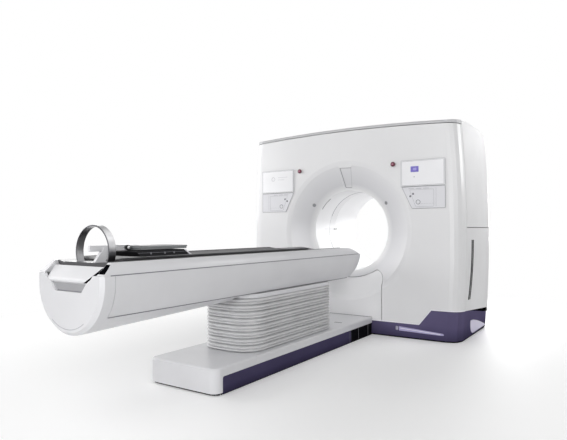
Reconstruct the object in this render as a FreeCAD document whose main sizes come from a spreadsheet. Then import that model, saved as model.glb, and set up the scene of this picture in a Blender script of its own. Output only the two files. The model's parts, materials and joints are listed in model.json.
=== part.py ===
"""Computed-tomography scanner: a floor-standing gantry with a turning inner ring, and a
patient table that lifts on two telescopic columns and slides its cradle through the bore.

Frame: millimetres, +Z up, +Y from the foot of the table to the back of the gantry, +X to the
right as seen facing the gantry. The origin is on the floor, in the middle of the whole machine.
The bore runs along Y, above the origin's X = 0.
"""

import FreeCAD, Part
import math
import os

import Sketcher

Vector = FreeCAD.Vector
doc = FreeCAD.newDocument("ct_scanner")

# ---------------------------------------------------------------- driving dimensions

SIZES = {
    # gantry covers
    "front_y": 930,
    "rear_y": 2080,
    "iso_height": 985,
    "half_width": 1136,
    "top_height": 2012,
    "side_bulge_radius": 11600,
    "crown_radius": 16100,
    "front_corner": 115,
    "rear_corner": 190,
    "cover_wall": 9,
    "seam": 6,
    # bore
    "bore_radius": 400,
    "liner_wall": 6,
    "flare_radius": 680,
    "mouth_radius": 404,
    "mouth_depth": 122,
    "window_y": 421,
    "window_width": 120,
    "rear_rim_y": 1028,
    # operator panels on the front
    "panel_inner": 585,
    "panel_outer": 986,
    "panel_split": 1381,
    "display_top": 1618,
    "keypad_bottom": 1181,
    "stop_x": 508,
    "stop_z": 1595,
    "stop_radius": 24,
    # base
    "sill_front": 130,
    "sill_side": 268,
    "base_wall": 70,
    "step_low_x": 738,
    "step_high_x": 850,
    "dock_half": 378,
    "dock_crest": 518,
    # rotor
    "rotor_radius": 818,
    "rotor_bore": 470,
    "rotor_front": 330,
    "rotor_back": 640,
    "focus_radius": 690,
    "detector_reach": 1160,
    # table
    "foot_y": -2080,
    "trough_half": 266,
    "rail_seam": 770,
    "trough_centre": 735,
    "trough_depth": 272,
    "pan_seam": 560,
    "shell_wall": 7,
    "rail_top": 830,
    "rail_inner": 216,
    "cap_length": 80,
    "cradle_half": 205,
    "cradle_foot": -2000,
    "cradle_head": 500,
    "cradle_under": 792,
    "pad_top": 850,
    "pad_head": -70,
    "nose_y": 725,
    # plinth
    "plinth_half": 286,
    "plinth_foot": -1302,
    "plinth_top": 163,
    "skirt_top": 110,
    "bellows_half": 238,
    "bellows_foot": -905,
    "bellows_head": 312,
    "bellows_top": 526,
    "bellows_folds": 8,
    # foot-end fittings
    "hoop_y": -1920,
    "hoop_z": 878,
    "hoop_radius": 139,
    "arm_x": 95,
    "arm_z": 897,
}


class Size:
    """A length with the sheet expression that gives it, so both stay in step."""

    def __init__(self, value, text):
        self.value = float(value)
        self.text = text

    def __add__(self, other):
        other = sized(other)
        return Size(self.value + other.value, f"({self.text} + {other.text})")

    def __sub__(self, other):
        other = sized(other)
        return Size(self.value - other.value, f"({self.text} - {other.text})")

    def __mul__(self, factor):
        return Size(self.value * factor, f"({self.text} * {factor})")

    def __truediv__(self, divisor):
        return Size(self.value / divisor, f"({self.text} / {divisor})")

    def __neg__(self):
        return Size(-self.value, f"(-{self.text})")

    def __radd__(self, other):
        return sized(other) + self

    def __rsub__(self, other):
        return sized(other) - self


def sized(value):
    """A Size as it is, or a bare number made into one."""
    return value if isinstance(value, Size) else Size(value, f"({value})")


class Dims:
    """The driving dimensions, each as a Size bound to its cell of the sheet."""


def fill_sheet():
    """Write every driving dimension into the sheet under its alias."""
    sheet = doc.addObject("Spreadsheet::Sheet", "Dims")
    for row, (alias, value) in enumerate(SIZES.items(), start=1):
        sheet.set(f"A{row}", alias)
        sheet.set(f"B{row}", str(value))
        sheet.setAlias(f"B{row}", alias)
        setattr(Dims, alias, Size(value, f"Dims.{alias}"))
    doc.recompute()


fill_sheet()

# ---------------------------------------------------------------- sketching

TURNS = {
    "XY": FreeCAD.Rotation(),
    "XZ": FreeCAD.Rotation(Vector(1, 0, 0), 90),
    "YZ": FreeCAD.Rotation(Vector(1, 1, 1), 120),
}
NORMAL = {"XY": "z", "XZ": "y", "YZ": "x"}
# which way a plane's own normal points along its row axis
FACING = {"XY": 1, "XZ": -1, "YZ": 1}


def bind(thing, path, size):
    """Tie one property of an object to the sheet."""
    thing.setExpression(path, sized(size).text)


def arc_through(start, via, end):
    """Arc from start to end by way of via, drawn anticlockwise, and whether that swaps its ends."""
    ax, ay = via.x - start.x, via.y - start.y
    bx, by = end.x - start.x, end.y - start.y
    twice = 2 * (ax * by - ay * bx)
    a2, b2 = ax * ax + ay * ay, bx * bx + by * by
    centre = start + Vector((by * a2 - ay * b2) / twice, (ax * b2 - bx * a2) / twice, 0)
    swapped = twice < 0
    first, last = (end, start) if swapped else (start, end)
    begin = math.atan2(first.y - centre.y, first.x - centre.x)
    finish = math.atan2(last.y - centre.y, last.x - centre.x)
    if finish <= begin:
        finish += 2 * math.pi
    circle = Part.Circle(centre, Vector(0, 0, 1), (first - centre).Length)
    return Part.ArcOfCircle(circle, begin, finish), swapped


def fix_point(sketch, geometry, end, place):
    """Hold one point of the sketch at a place given by two sizes."""
    for kind, size in zip(("DistanceX", "DistanceY"), place):
        number = sketch.addConstraint(Sketcher.Constraint(kind, -1, 1, geometry, end, size.value))
        bind(sketch, f"Constraints[{number}]", size)


def outline(sketch, start, *steps):
    """Draw a closed outline. A step of two sizes is a straight run to that point, and a step of
    four is an arc through its first point to its second."""
    start = tuple(sized(v) for v in start)
    here = start
    ends = []
    for step in list(steps) + [start]:
        step = tuple(sized(v) for v in step)
        goal = step[-2:]
        a, b = (Vector(p[0].value, p[1].value, 0) for p in (here, goal))
        if (b - a).Length < 1e-6:
            continue
        if len(step) == 2:
            piece = sketch.addGeometry(Part.LineSegment(a, b))
            ends.append((piece, 1, 2))
        else:
            via = Vector(step[0].value, step[1].value, 0)
            arc, swapped = arc_through(a, via, b)
            piece = sketch.addGeometry(arc)
            ends.append((piece, 2, 1) if swapped else (piece, 1, 2))
            mark = sketch.addGeometry(Part.Point(via), True)
            fix_point(sketch, mark, 1, step[:2])
            sketch.addConstraint(Sketcher.Constraint("PointOnObject", mark, 1, piece))
        fix_point(sketch, piece, ends[-1][1], here)
        here = goal
    for (piece, _, last), (after, first, _) in zip(ends, ends[1:] + ends[:1]):
        sketch.addConstraint(Sketcher.Constraint("Coincident", piece, last, after, first))


def ring(sketch, x, y, radius):
    """Draw a full circle about a point given by two sizes."""
    x, y, radius = sized(x), sized(y), sized(radius)
    circle = Part.Circle(Vector(x.value, y.value, 0), Vector(0, 0, 1), radius.value)
    piece = sketch.addGeometry(circle)
    fix_point(sketch, piece, 3, (x, y))
    number = sketch.addConstraint(Sketcher.Constraint("Radius", piece, radius.value))
    bind(sketch, f"Constraints[{number}]", radius)


def rectangle(sketch, x0, y0, x1, y1):
    """Draw a rectangle between two corners."""
    outline(sketch, (x0, y0), (x1, y0), (x1, y1), (x0, y1))


def mirrored(points):
    """The same points on the other side of X = 0, in the reverse order."""
    return [tuple(-sized(v) if i % 2 == 0 else v for i, v in enumerate(p)) for p in points[::-1]]


def bend(x, y, radius, start, end, steps):
    """Points along a round corner about (x, y), from one angle to another, in even chords."""
    points = []
    for step in range(steps + 1):
        angle = math.radians(start + (end - start) * step / steps)
        across, up = round(math.cos(angle), 6), round(math.sin(angle), 6)
        points.append((x + radius * across, y + radius * up))
    return points


# ---------------------------------------------------------------- features of a body


def new_body(label):
    """A body that becomes one sub-part."""
    body = doc.addObject("PartDesign::Body", label)
    body.Label = label
    return body


def sketch_on(body, plane, at=0):
    """A sketch on one of the body's own origin planes, moved along the row axis to `at`."""
    base = [f for f in body.Origin.OriginFeatures if f.Role == f"{plane}_Plane"][0]
    sketch = body.newObject("Sketcher::SketchObject", "Sketch")
    sketch.AttachmentSupport = [(base, "")]
    sketch.MapMode = "FlatFace"
    bind(sketch, "AttachmentOffset.Base.z", sized(at) * FACING[plane])
    return sketch


def pad(body, sketch, plane, length):
    """Pad a sketch along the positive row axis."""
    feature = body.newObject("PartDesign::Pad", "Pad")
    feature.Profile = sketch
    feature.Reversed = FACING[plane] < 0
    bind(feature, "Length", length)
    sketch.Visibility = False
    doc.recompute()
    return feature


def pocket(body, sketch, plane, length):
    """Cut a sketch out of the body along the positive row axis."""
    before = body.Shape.Volume
    feature = body.newObject("PartDesign::Pocket", "Pocket")
    feature.Profile = sketch
    feature.Reversed = FACING[plane] > 0
    bind(feature, "Length", length)
    doc.recompute()
    if body.Shape.Volume >= before - 1e-3:
        raise RuntimeError(f"a pocket in {body.Label} cuts nothing")
    return feature


def turn(body, sketch, axis="H_Axis"):
    """Turn a sketch once round one of its own axes."""
    feature = body.newObject("PartDesign::Revolution", "Revolution")
    feature.Profile = sketch
    feature.ReferenceAxis = (sketch, [axis])
    feature.Angle = 360
    doc.recompute()
    return feature


def round_edges(body, radius, wanted):
    """Fillet the body's edges that `wanted` picks."""
    doc.recompute()
    names = [f"Edge{i}" for i, edge in enumerate(body.Shape.Edges, 1) if wanted(edge)]
    base = body.Tip
    feature = body.newObject("PartDesign::Fillet", "Fillet")
    feature.Base = (base, names)
    bind(feature, "Radius", radius)
    body.Tip = feature
    doc.recompute()
    return feature


def soften_edges(body, size, wanted):
    """Chamfer the body's edges that `wanted` picks."""
    doc.recompute()
    names = [f"Edge{i}" for i, edge in enumerate(body.Shape.Edges, 1) if wanted(edge)]
    base = body.Tip
    feature = body.newObject("PartDesign::Chamfer", "Chamfer")
    feature.Base = (base, names)
    bind(feature, "Size", size)
    body.Tip = feature
    doc.recompute()
    return feature


def padded(label, plane, low, high, start, *steps):
    """A body of one pad between two stations along the plane's normal."""
    body = new_body(label)
    sketch = sketch_on(body, plane, low)
    outline(sketch, start, *steps)
    pad(body, sketch, plane, sized(high) - low)
    return body


def turned(label, start, *steps, x=0, z=Dims.iso_height):
    """A body turned about a line along Y, from an outline of (Y, radius) points."""
    body = new_body(label)
    bind(body, "Placement.Base.x", x)
    bind(body, "Placement.Base.z", z)
    sketch = sketch_on(body, "YZ")
    outline(sketch, start, *steps)
    turn(body, sketch)
    return body


# ---------------------------------------------------------------- solids and booleans


def cuboid(x0, x1, y0, y1, z0, z1, label="Block"):
    """A Part box between two corners."""
    block = doc.addObject("Part::Box", label)
    block.Label = label
    for side, base, low, high in zip(
        ("Length", "Width", "Height"), "xyz", (x0, y0, z0), (x1, y1, z1)
    ):
        bind(block, side, sized(high) - low)
        bind(block, f"Placement.Base.{base}", low)
    return block


def cylinder(axis, centre, radius, length, label="Round"):
    """A Part cylinder that runs from `centre` along one row axis."""
    turns = {
        "x": FreeCAD.Rotation(Vector(0, 1, 0), 90),
        "y": FreeCAD.Rotation(Vector(1, 0, 0), -90),
        "z": FreeCAD.Rotation(),
    }
    solid = doc.addObject("Part::Cylinder", label)
    solid.Label = label
    solid.Placement = FreeCAD.Placement(Vector(), turns[axis])
    bind(solid, "Radius", radius)
    bind(solid, "Height", length)
    for base, size in zip("xyz", centre):
        bind(solid, f"Placement.Base.{base}", size)
    return solid


def free_sketch(plane, at=0):
    """A sketch that stands by itself, parallel to a row plane."""
    sketch = doc.addObject("Sketcher::SketchObject", "Profile")
    sketch.Placement = FreeCAD.Placement(Vector(), TURNS[plane])
    bind(sketch, f"Placement.Base.{NORMAL[plane]}", at)
    return sketch


def prism(plane, low, high, start, *steps, label="Prism"):
    """A solid of one outline between two stations along the plane's normal."""
    sketch = free_sketch(plane, low)
    outline(sketch, start, *steps)
    solid = doc.addObject("Part::Extrusion", label)
    solid.Label = label
    solid.Base = sketch
    solid.DirMode = "Custom"
    solid.Dir = Vector(*(1 if NORMAL[plane] == c else 0 for c in "xyz"))
    solid.Solid = True
    bind(solid, "LengthFwd", sized(high) - low)
    return solid


def swung(sketch, x, z, angle, label="Sector"):
    """A solid swept by a sketch about a line along Y, half the angle to each side."""
    solid = doc.addObject("Part::Revolution", label)
    solid.Source = sketch
    solid.Axis = Vector(0, 1, 0)
    bind(solid, "Base.x", x)
    bind(solid, "Base.z", z)
    solid.Angle = angle
    solid.Symmetric = True
    solid.Solid = True
    return solid


def joined(kind, label, pieces):
    """Part boolean of several solids, labelled as one."""
    result = doc.addObject(kind, label)
    result.Label = label
    result.Shapes = pieces
    return result


def fused(label, *pieces):
    """One solid of several that meet."""
    return joined("Part::MultiFuse", label, list(pieces))


def shared(label, *pieces):
    """The space that several solids share."""
    return joined("Part::MultiCommon", label, list(pieces))


def without(label, base, *tools):
    """A solid less one or more others."""
    result = doc.addObject("Part::Cut", label)
    result.Label = label
    result.Base = base
    result.Tool = tools[0] if len(tools) == 1 else fused(f"{label}_tools", *tools)
    return result


def grouped(label, *pieces):
    """Separate solids that share one node."""
    group = doc.addObject("Part::Compound", label)
    group.Label = label
    group.Links = list(pieces)
    return group


# ---------------------------------------------------------------- gantry covers

FRONT = Dims.front_y
REAR = Dims.rear_y
ISO = Dims.iso_height
TOP = Dims.top_height
HALF = Dims.half_width
SEAM = Dims.seam
STEM_HALF = 10
WIDE = 1400
BIG = 2200


def crown_block(inset, low):
    """Everything under the crowned top: the side outline swung about a far axis below, and drawn
    in by `inset`."""
    sketch = free_sketch("YZ")
    front = FRONT + inset
    rear = REAR - inset
    top = TOP - inset
    crown = [(FRONT + 480 + 231 * step, top - 5.6 * step * step) for step in (-2, -1, 0, 1, 2)]
    corner = [(rear - 88, top - 75), (rear - 26, top - 150), (rear, top - 235)]
    outline(
        sketch,
        (front, low),
        (front, top - 38),
        (front + 5, top - 28),
        *crown,
        *corner,
        (rear, ISO),
        (rear - 95, low),
    )
    return swung(sketch, 0, TOP - Dims.crown_radius, 11, "CrownBlock")


def flank_block(inset, side, chords):
    """Everything on the inner side of one bulged flank, with its front and rear corners rounded."""
    sketch = free_sketch("XY", ISO)
    front_corner, rear_corner = Dims.front_corner, Dims.rear_corner
    front = bend(
        HALF - front_corner, FRONT + front_corner, front_corner - inset, -90, 0, chords
    )
    rear = bend(HALF - rear_corner, REAR - rear_corner, rear_corner - inset, 0, 90, chords)
    start, end = (-WIDE, FRONT + inset), (-WIDE, REAR - inset)
    points = [start, *front, *rear, end]
    outline(sketch, *(points if side > 0 else mirrored(points)))
    return swung(sketch, (HALF - Dims.side_bulge_radius) * side, ISO, 18, "FlankBlock")


def envelope(inset, low, label, chords=2):
    """The gantry's outer form drawn in by `inset`, open downwards from `low`."""
    flanks = [flank_block(inset, side, chords) for side in (1, -1)]
    return shared(label, crown_block(inset, low), *flanks)


OUTER = envelope(0, 110, "Outer", 5)
INNER = envelope(Dims.cover_wall, 90, "Inner")
SKIN = without("Skin", OUTER, INNER)
SIDE_FRONT = FRONT + Dims.front_corner + 5
SIDE_BACK = FRONT + 1000


def below_lip(drop):
    """The space below the seam between front and top, which follows the crown across."""
    sketch = free_sketch("YZ")
    rectangle(sketch, FRONT - 30, 90, SIDE_FRONT + 10, TOP - drop)
    return swung(sketch, 0, TOP - Dims.crown_radius, 11, "BelowLip")


def above_front_sill(lift):
    """The space above the base's front edge, which steps up towards each corner."""
    low, high = Dims.sill_front + lift, Dims.sill_side + lift
    right = [(Dims.step_low_x, low), (Dims.step_high_x, high), (WIDE, high + 6)]
    left = mirrored(right)
    return prism("XZ", FRONT - 20, FRONT + 400, (-WIDE, BIG), *left, *right, (WIDE, BIG))


def dock_outline(grow):
    """Front view of the docking cover: a hollow crest under the bore, with rounded shoulders."""
    edge = Dims.dock_half + grow
    right = [
        (Dims.dock_half - 22, 575 + grow, edge, 478),
        (edge, 100),
    ]
    return [
        (-edge, 100),
        (-edge, 478),
        (-Dims.dock_half + 22, 575 + grow, -Dims.dock_half + 76, 602 + grow),
        (0, Dims.dock_crest + grow, Dims.dock_half - 76, 602 + grow),
        *right,
    ]


def top_outline(grow):
    """Plan view of the top cover: full width at the front, and inside the flanks behind."""
    edge = Dims.panel_outer + 14 + grow
    back = SIDE_FRONT - SEAM + grow
    right = [(WIDE, FRONT - 20), (WIDE, back), (edge, back), (edge, SIDE_BACK + grow)]
    return right + mirrored(right)


def flare():
    """The turned flare that leads into the bore, with a plain cone behind it."""
    mouth_y, mouth = FRONT + Dims.mouth_depth, Dims.mouth_radius
    return turned(
        "Flare",
        (FRONT, Dims.flare_radius),
        (FRONT + 9, 636),
        (FRONT + 56, 540),
        (mouth_y, mouth),
        (mouth_y, mouth + 9),
        (FRONT + 9, Dims.flare_radius),
    )


def front_shell():
    """Flat front and flare as one moulding, before the docking cover is taken out of it."""
    slab = cuboid(-WIDE, WIDE, FRONT - 10, SIDE_FRONT - SEAM, 100, BIG)
    flat = shared("FrontFlat", SKIN, slab)
    hole = cylinder("y", (0, FRONT - 20, ISO), Dims.flare_radius, 60)
    return fused("FrontShell", without("FrontRing", flat, hole), flare())


def stop_collar(side):
    """Raised rim under one emergency stop."""
    place = (Dims.stop_x * side, FRONT - 4, Dims.stop_z)
    return cylinder("y", place, Dims.stop_radius + 5, 9, "StopCollar")


def stop_hole(side):
    """Square hole in the front for one stop's stem."""
    x, z, half = Dims.stop_x * side, Dims.stop_z, STEM_HALF + 0.3
    return cuboid(x - half, x + half, FRONT - 10, FRONT + 30, z - half, z + half)


def gantry_front():
    """Front cover with the flare, and the docking cover below the bore."""
    shell = front_shell()
    dock = prism("XZ", FRONT - 20, FRONT + 300, *dock_outline(0))
    dock_hole = prism("XZ", FRONT - 20, FRONT + 300, *dock_outline(SEAM))
    sill = above_front_sill(SEAM)
    bare = shared("FrontBare", shell, sill, below_lip(50 + SEAM))
    fitted = fused("FrontFitted", bare, stop_collar(1), stop_collar(-1))
    return [
        without("front_cover", fitted, dock_hole, stop_hole(1), stop_hole(-1)),
        shared("dock_cover", shell, dock, above_front_sill(SEAM)),
    ]


def gantry_top():
    """Crowned top cover with a shallow lip at the front."""
    cap = without("TopCap", SKIN, below_lip(50))
    return shared("top_cover", cap, prism("XY", 1500, BIG, *top_outline(0)))


def gantry_side(side, name):
    """Upper side cover and the service panel under it, with the panel's long vent slot."""
    low, high = (0, WIDE) if side > 0 else (-WIDE, 0)
    upper = cuboid(low, high, SIDE_FRONT, SIDE_BACK - SEAM, ISO + 25, BIG)
    clear = prism("XY", 1500, BIG, *top_outline(SEAM))
    cover = without(f"side_cover_{name}", shared("Flank", SKIN, upper), clear)
    sill = prism(
        "YZ",
        low,
        high,
        (SIDE_FRONT, 272),
        (SIDE_BACK - SEAM, 202),
        (SIDE_BACK - SEAM, ISO + 25 - SEAM),
        (SIDE_FRONT, ISO + 25 - SEAM),
    )
    slot = vent_slot(low, high)
    panel = without(f"side_panel_{name}", shared("LowerFlank", SKIN, sill), slot)
    return [cover, panel]


def vent_slot(low, high):
    """Long narrow slot in the side panel, leaning a little and gently curved."""
    half, top, bottom = 8, 895, 362
    return prism(
        "YZ",
        low,
        high,
        (FRONT + 316 - half, top),
        (FRONT + 300 - half, 640, FRONT + 236 - half, bottom),
        (FRONT + 236 + half, bottom),
        (FRONT + 300 + half, 640, FRONT + 316 + half, top),
    )


def gantry_rear():
    """Rear cover, and the funnel in its round hole, with the rear half of the tunnel on it."""
    slab = cuboid(-WIDE, WIDE, SIDE_BACK, REAR + 20, 162, BIG)
    back = shared("RearSkin", SKIN, slab)
    r = Dims.bore_radius
    rim, mouth = FRONT + Dims.rear_rim_y, REAR - 2
    start = FRONT + Dims.window_y + Dims.window_width + 1
    hole = turned("RearHole", (rim, 0), (rim, r + 11), (REAR + 12, r + 124), (REAR + 12, 0))
    funnel = turned(
        "rear_funnel",
        (start, r),
        (rim, r),
        (mouth, r + 100),
        (mouth, r + 108),
        (rim, r + 7),
        (start, r + 7),
    )
    return [without("rear_cover", back, hole), funnel]


def bore_liners():
    """Front liner from the flare's mouth, and the thin scan window behind it."""
    r, wall = Dims.bore_radius, Dims.liner_wall
    window = FRONT + Dims.window_y
    far = window + Dims.window_width
    start, end = FRONT + Dims.mouth_depth + 1, window - 3
    return [
        turned("front_liner", (start, r), (end, r), (end, r + wall), (start, r + wall)),
        turned("scan_window", (window, r), (far, r), (far, r + 3), (window, r + 3)),
    ]


# ---------------------------------------------------------------- gantry front fittings


def display(side, name):
    """Thin operator screen, proud of the front, with a raised glass inside its rounded frame."""
    inner, outer = Dims.panel_inner * side, Dims.panel_outer * side
    low, high = Dims.panel_split + 2, Dims.display_top
    screen = padded(
        f"display_{name}",
        "XZ",
        FRONT - 16,
        FRONT,
        (inner, low),
        (outer, low),
        (outer, high),
        (inner, high),
    )
    round_edges(screen, 6, lambda e: abs(e.tangentAt(e.FirstParameter).y) > 0.9)
    rim = 8
    x0, x1 = inner + rim * side, outer - rim * side
    glass = sketch_on(screen, "XZ", FRONT - 17)
    rectangle(glass, x0, low + rim, x1, high - rim)
    pad(screen, glass, "XZ", 2)
    return screen


def keypad(side, name):
    """Sealed key panel under the screen, cut back along the flare."""
    outer = Dims.panel_outer * side
    high, low = Dims.panel_split - 3, Dims.keypad_bottom
    panel = padded(
        f"keypad_{name}",
        "XZ",
        FRONT - 9,
        FRONT,
        (outer, low),
        (outer, high),
        (Dims.panel_inner * side, high),
        (684 * side, low),
    )
    round_edges(panel, 8, lambda e: abs(e.tangentAt(e.FirstParameter).y) > 0.9)
    return panel


def emergency_stop(side, name):
    """Mushroom button, whose square stem runs in the front cover's raised rim."""
    button = new_body(f"stop_button_{name}")
    x, z = Dims.stop_x * side, Dims.stop_z
    head = sketch_on(button, "XZ", FRONT - 24)
    ring(head, x, z, Dims.stop_radius - 3)
    pad(button, head, "XZ", 12)
    stem = sketch_on(button, "XZ", FRONT - 13)
    rectangle(stem, x - STEM_HALF, z - STEM_HALF, x + STEM_HALF, z + STEM_HALF)
    pad(button, stem, "XZ", 29)
    return button


# ---------------------------------------------------------------- gantry base


def sill_top(lift, side_gap):
    """Space above the base cover: a stepped front edge, and sides that fall to the back."""
    front = above_front_sill(lift)
    side = prism(
        "YZ",
        -WIDE,
        WIDE,
        (FRONT + 150, Dims.sill_side + lift),
        (FRONT + 290, Dims.sill_side - side_gap),
        (REAR - 90, 146),
        (REAR + 40, 146),
        (REAR + 40, 600),
        (FRONT + 150, 600),
    )
    return fused("SillTop", front, side)


def scoop(side):
    """Hollow pressed into the side of the base, like the bow of a boat."""
    low, high = (HALF - 48, HALF + 40) if side > 0 else (-HALF - 40, -HALF + 48)
    return prism(
        "YZ",
        low,
        high,
        (FRONT + 479, 16),
        (FRONT + 987, 18),
        (FRONT + 735, 96, FRONT + 470, 152),
        (FRONT + 346, 160),
        (FRONT + 360, 84, FRONT + 479, 16),
    )


def stripe():
    """Shallow tapered bands in the front of the base, one on each side."""
    right = [(925, 52), (957, 54), (966, 64), (952, 78), (516, 108)]
    left = [(-952, 78), (-966, 64), (-957, 54), (-925, 52), (-516, 60)]
    bands = [
        prism("XZ", FRONT - 20, FRONT + 6, (516, 60), *right),
        prism("XZ", FRONT - 20, FRONT + 6, (-516, 108), *left),
    ]
    return fused("Stripes", *bands)


def gantry_base():
    """Base cover all round, with its scoops and bands, and the dark skirt behind it."""
    outside, inside = envelope(4, 12, "BaseOuter"), envelope(Dims.base_wall, -20, "BaseInner")
    wall = without("BaseRing", outside, inside)
    slab = cuboid(-WIDE, WIDE, FRONT - 20, REAR + 20, 12, Dims.sill_side)
    body = without("BaseBody", shared("BaseSlab", wall, slab), sill_top(0, 12))
    cover = without("base_cover", body, scoop(1), scoop(-1), stripe())
    inset = Dims.base_wall + 2
    outside, inside = envelope(inset, -5, "SkirtOut"), envelope(inset + 8, -20, "SkirtIn")
    band = without("SkirtBand", outside, inside)
    space = without(
        "SkirtSpace",
        cuboid(-WIDE, WIDE, FRONT - 20, REAR + 20, 0, Dims.sill_side - 8),
        cuboid(-WIDE, WIDE, FRONT - 20, FRONT + 140, 120, 400),
    )
    return [cover, shared("base_skirt", band, space)]


def floor_frame():
    """Welded floor frame: two long beams, two cross members and four anchor feet."""
    frame = new_body("floor_frame")
    beams = sketch_on(frame, "XY", 15)
    rectangle(beams, -930, FRONT + 110, 930, FRONT + 950)
    rectangle(beams, -810, FRONT + 230, 810, FRONT + 650)
    pad(frame, beams, "XY", 105)
    well = sketch_on(frame, "XY", 10)
    rectangle(well, -810, FRONT + 780, 810, FRONT + 880)
    pocket(frame, well, "XY", 120)
    feet = sketch_on(frame, "XY", 0)
    for x in (-950, 950):
        for y in (FRONT + 210, FRONT + 870):
            rectangle(feet, x - 50, y - 60, x + 50, y + 60)
            ring(feet, x + math.copysign(15, x), y, 11)
    pad(frame, feet, "XY", 22)
    return frame


# ---------------------------------------------------------------- stator and rotor


def stator_frame():
    """Upright welded plate that carries the bearing, with a rear leg each side and the brush block
    behind it."""
    low = sized(120)
    frame = new_body("stator_frame")
    plate = sketch_on(frame, "XZ", FRONT + 670)
    right = [(930, low), (930, ISO + 300), (430, ISO + 820)]
    outline(plate, *right, *mirrored(right))
    ring(plate, 0, ISO, 562)
    pad(frame, plate, "XZ", 60)
    for x in (-925, 895):
        leg = sketch_on(frame, "YZ", x)
        outline(
            leg,
            (FRONT + 725, low),
            (FRONT + 950, low),
            (FRONT + 930, 200),
            (FRONT + 800, 900),
            (FRONT + 725, 1100),
        )
        pad(frame, leg, "YZ", 30)
    brush = sketch_on(frame, "XZ", FRONT + 729)
    rectangle(brush, -80, ISO - 720, 80, ISO - 622)
    pad(frame, brush, "XZ", 127)
    fingers = sketch_on(frame, "XZ", FRONT + 784)
    for step in range(-2, 3):
        rectangle(fingers, step * 26 - 5, ISO - 624, step * 26 + 5, ISO - 612)
    pad(frame, fingers, "XZ", 58)
    return frame


def bearing():
    """Large slewing bearing: outer ring in the frame, inner ring on the rotor's sleeve."""
    outer = turned(
        "bearing_outer_ring",
        (FRONT + 670, 534),
        (FRONT + 670, 562),
        (FRONT + 738, 562),
        (FRONT + 738, 534),
    )
    inner = turned(
        "bearing_inner_ring",
        (FRONT + 657, 490),
        (FRONT + 738, 490),
        (FRONT + 738, 524),
        (FRONT + 657, 524),
    )
    return [outer, inner]


def rotor_plate():
    """Round plate that carries the imaging chain, with the sleeve that runs in the bearing."""
    r, bore = Dims.rotor_radius, Dims.rotor_bore
    back = FRONT + Dims.rotor_back
    return turned(
        "rotor_plate",
        (back - 22, bore),
        (back - 22, r),
        (back, r),
        (back, bore + 20),
        (FRONT + 860, bore + 20),
        (FRONT + 860, bore),
    )


def tube_assembly():
    """X-ray tube housing over the bore, and the collimator box between it and the bore."""
    at = ISO + Dims.focus_radius
    front = FRONT + Dims.rotor_front
    tube = turned(
        "xray_tube",
        (front + 10, 0),
        (front + 10, 92),
        (front + 288, 92),
        (front + 288, 0),
        z=at,
    )
    box = padded(
        "collimator",
        "XZ",
        front + 40,
        front + 288,
        (-110, ISO + 480),
        (110, ISO + 480),
        (84, ISO + 590),
        (-84, ISO + 590),
    )
    slot = sketch_on(box, "XZ", front + 84)
    rectangle(slot, -80, ISO + 470, 80, ISO + 560)
    pocket(box, slot, "XZ", 14)
    return [tube, box]


def arc_piece(label, low, high, inner, outer, half_angle):
    """Piece of a ring centred on the tube's focus, on the far side of the bore."""
    focus = ISO + Dims.focus_radius
    sine, cosine = math.sin(math.radians(half_angle)), math.cos(math.radians(half_angle))
    return padded(
        label,
        "XZ",
        low,
        high,
        (inner * -sine, focus - inner * cosine),
        (0, focus - inner, inner * sine, focus - inner * cosine),
        (outer * sine, focus - outer * cosine),
        (0, focus - outer, outer * -sine, focus - outer * cosine),
    )


def detector_assembly():
    """Curved detector under the bore: the crystal arc, and the deeper arc that carries it and its
    electronics on the rotor's plate."""
    reach = Dims.detector_reach
    front = FRONT + Dims.rotor_front
    crystal = arc_piece("Crystal", front + 12, front + 172, reach, reach + 40, 24)
    carrier = arc_piece("Carrier", front + 22, front + 288, reach + 39, reach + 104, 22.5)
    return fused("detector", crystal, carrier)


def rotor_unit(label, x0, x1, z0, z1, low, fin_count=0):
    """Electronics box bolted to the rotor's plate, with cooling slots on its outer side."""
    unit = padded(
        label,
        "XZ",
        FRONT + Dims.rotor_front + low,
        FRONT + Dims.rotor_front + 288,
        (x0, ISO + z0),
        (x1, ISO + z0),
        (x1, ISO + z1),
        (x0, ISO + z1),
    )
    if fin_count:
        slots = sketch_on(unit, "XZ", FRONT + Dims.rotor_front + low - 5)
        pitch = (z1 - z0 - 40) / fin_count
        for number in range(fin_count):
            z = z0 + 20 + (number + 0.25) * pitch
            rectangle(slots, x0 + 30, ISO + z, x1 - 30, ISO + z + pitch * 0.5)
        pocket(unit, slots, "XZ", 45)
    return unit


def rotor_units():
    """Generator and power unit beside the bore, and the heat exchanger up on one side."""
    units = [
        rotor_unit("hv_generator", -740, -535, -190, 190, 20),
        rotor_unit("power_unit", 535, 740, -190, 190, 20, 5),
    ]
    cooler = rotor_unit("heat_exchanger", -150, 150, 560, 730, 50, 4)
    turn_by = FreeCAD.Rotation(Vector(0, 1, 0), 45)
    middle = Vector(0, 0, ISO.value)
    cooler.Placement = FreeCAD.Placement(middle - turn_by.multVec(middle), turn_by)
    return units + [cooler]


def slip_ring():
    """Contact ring on the sleeve, behind the bearing."""
    start = FRONT + 780
    end = start + 66
    inner = Dims.rotor_bore + 20
    return turned("slip_ring", (start, inner), (start, 610), (end, 610), (end, inner))


# ---------------------------------------------------------------- table top

TROUGH = Dims.trough_half
SPLIT = Dims.rail_seam
SHELL_FOOT = Dims.foot_y + Dims.cap_length
NOSE = Dims.nose_y
DOCK = FRONT - 5
PLINTH_JOINT = Dims.plinth_foot + 409
COLUMN_FOOT = Dims.bellows_foot + 310
COLUMN_HEAD = Dims.bellows_head - 310
BEAM_LOW = sized(600)
HOOP_FOOT = Dims.cradle_under + 33
ARM_Z = Dims.arm_z
TRAY_Y = Dims.hoop_y + 118


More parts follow.
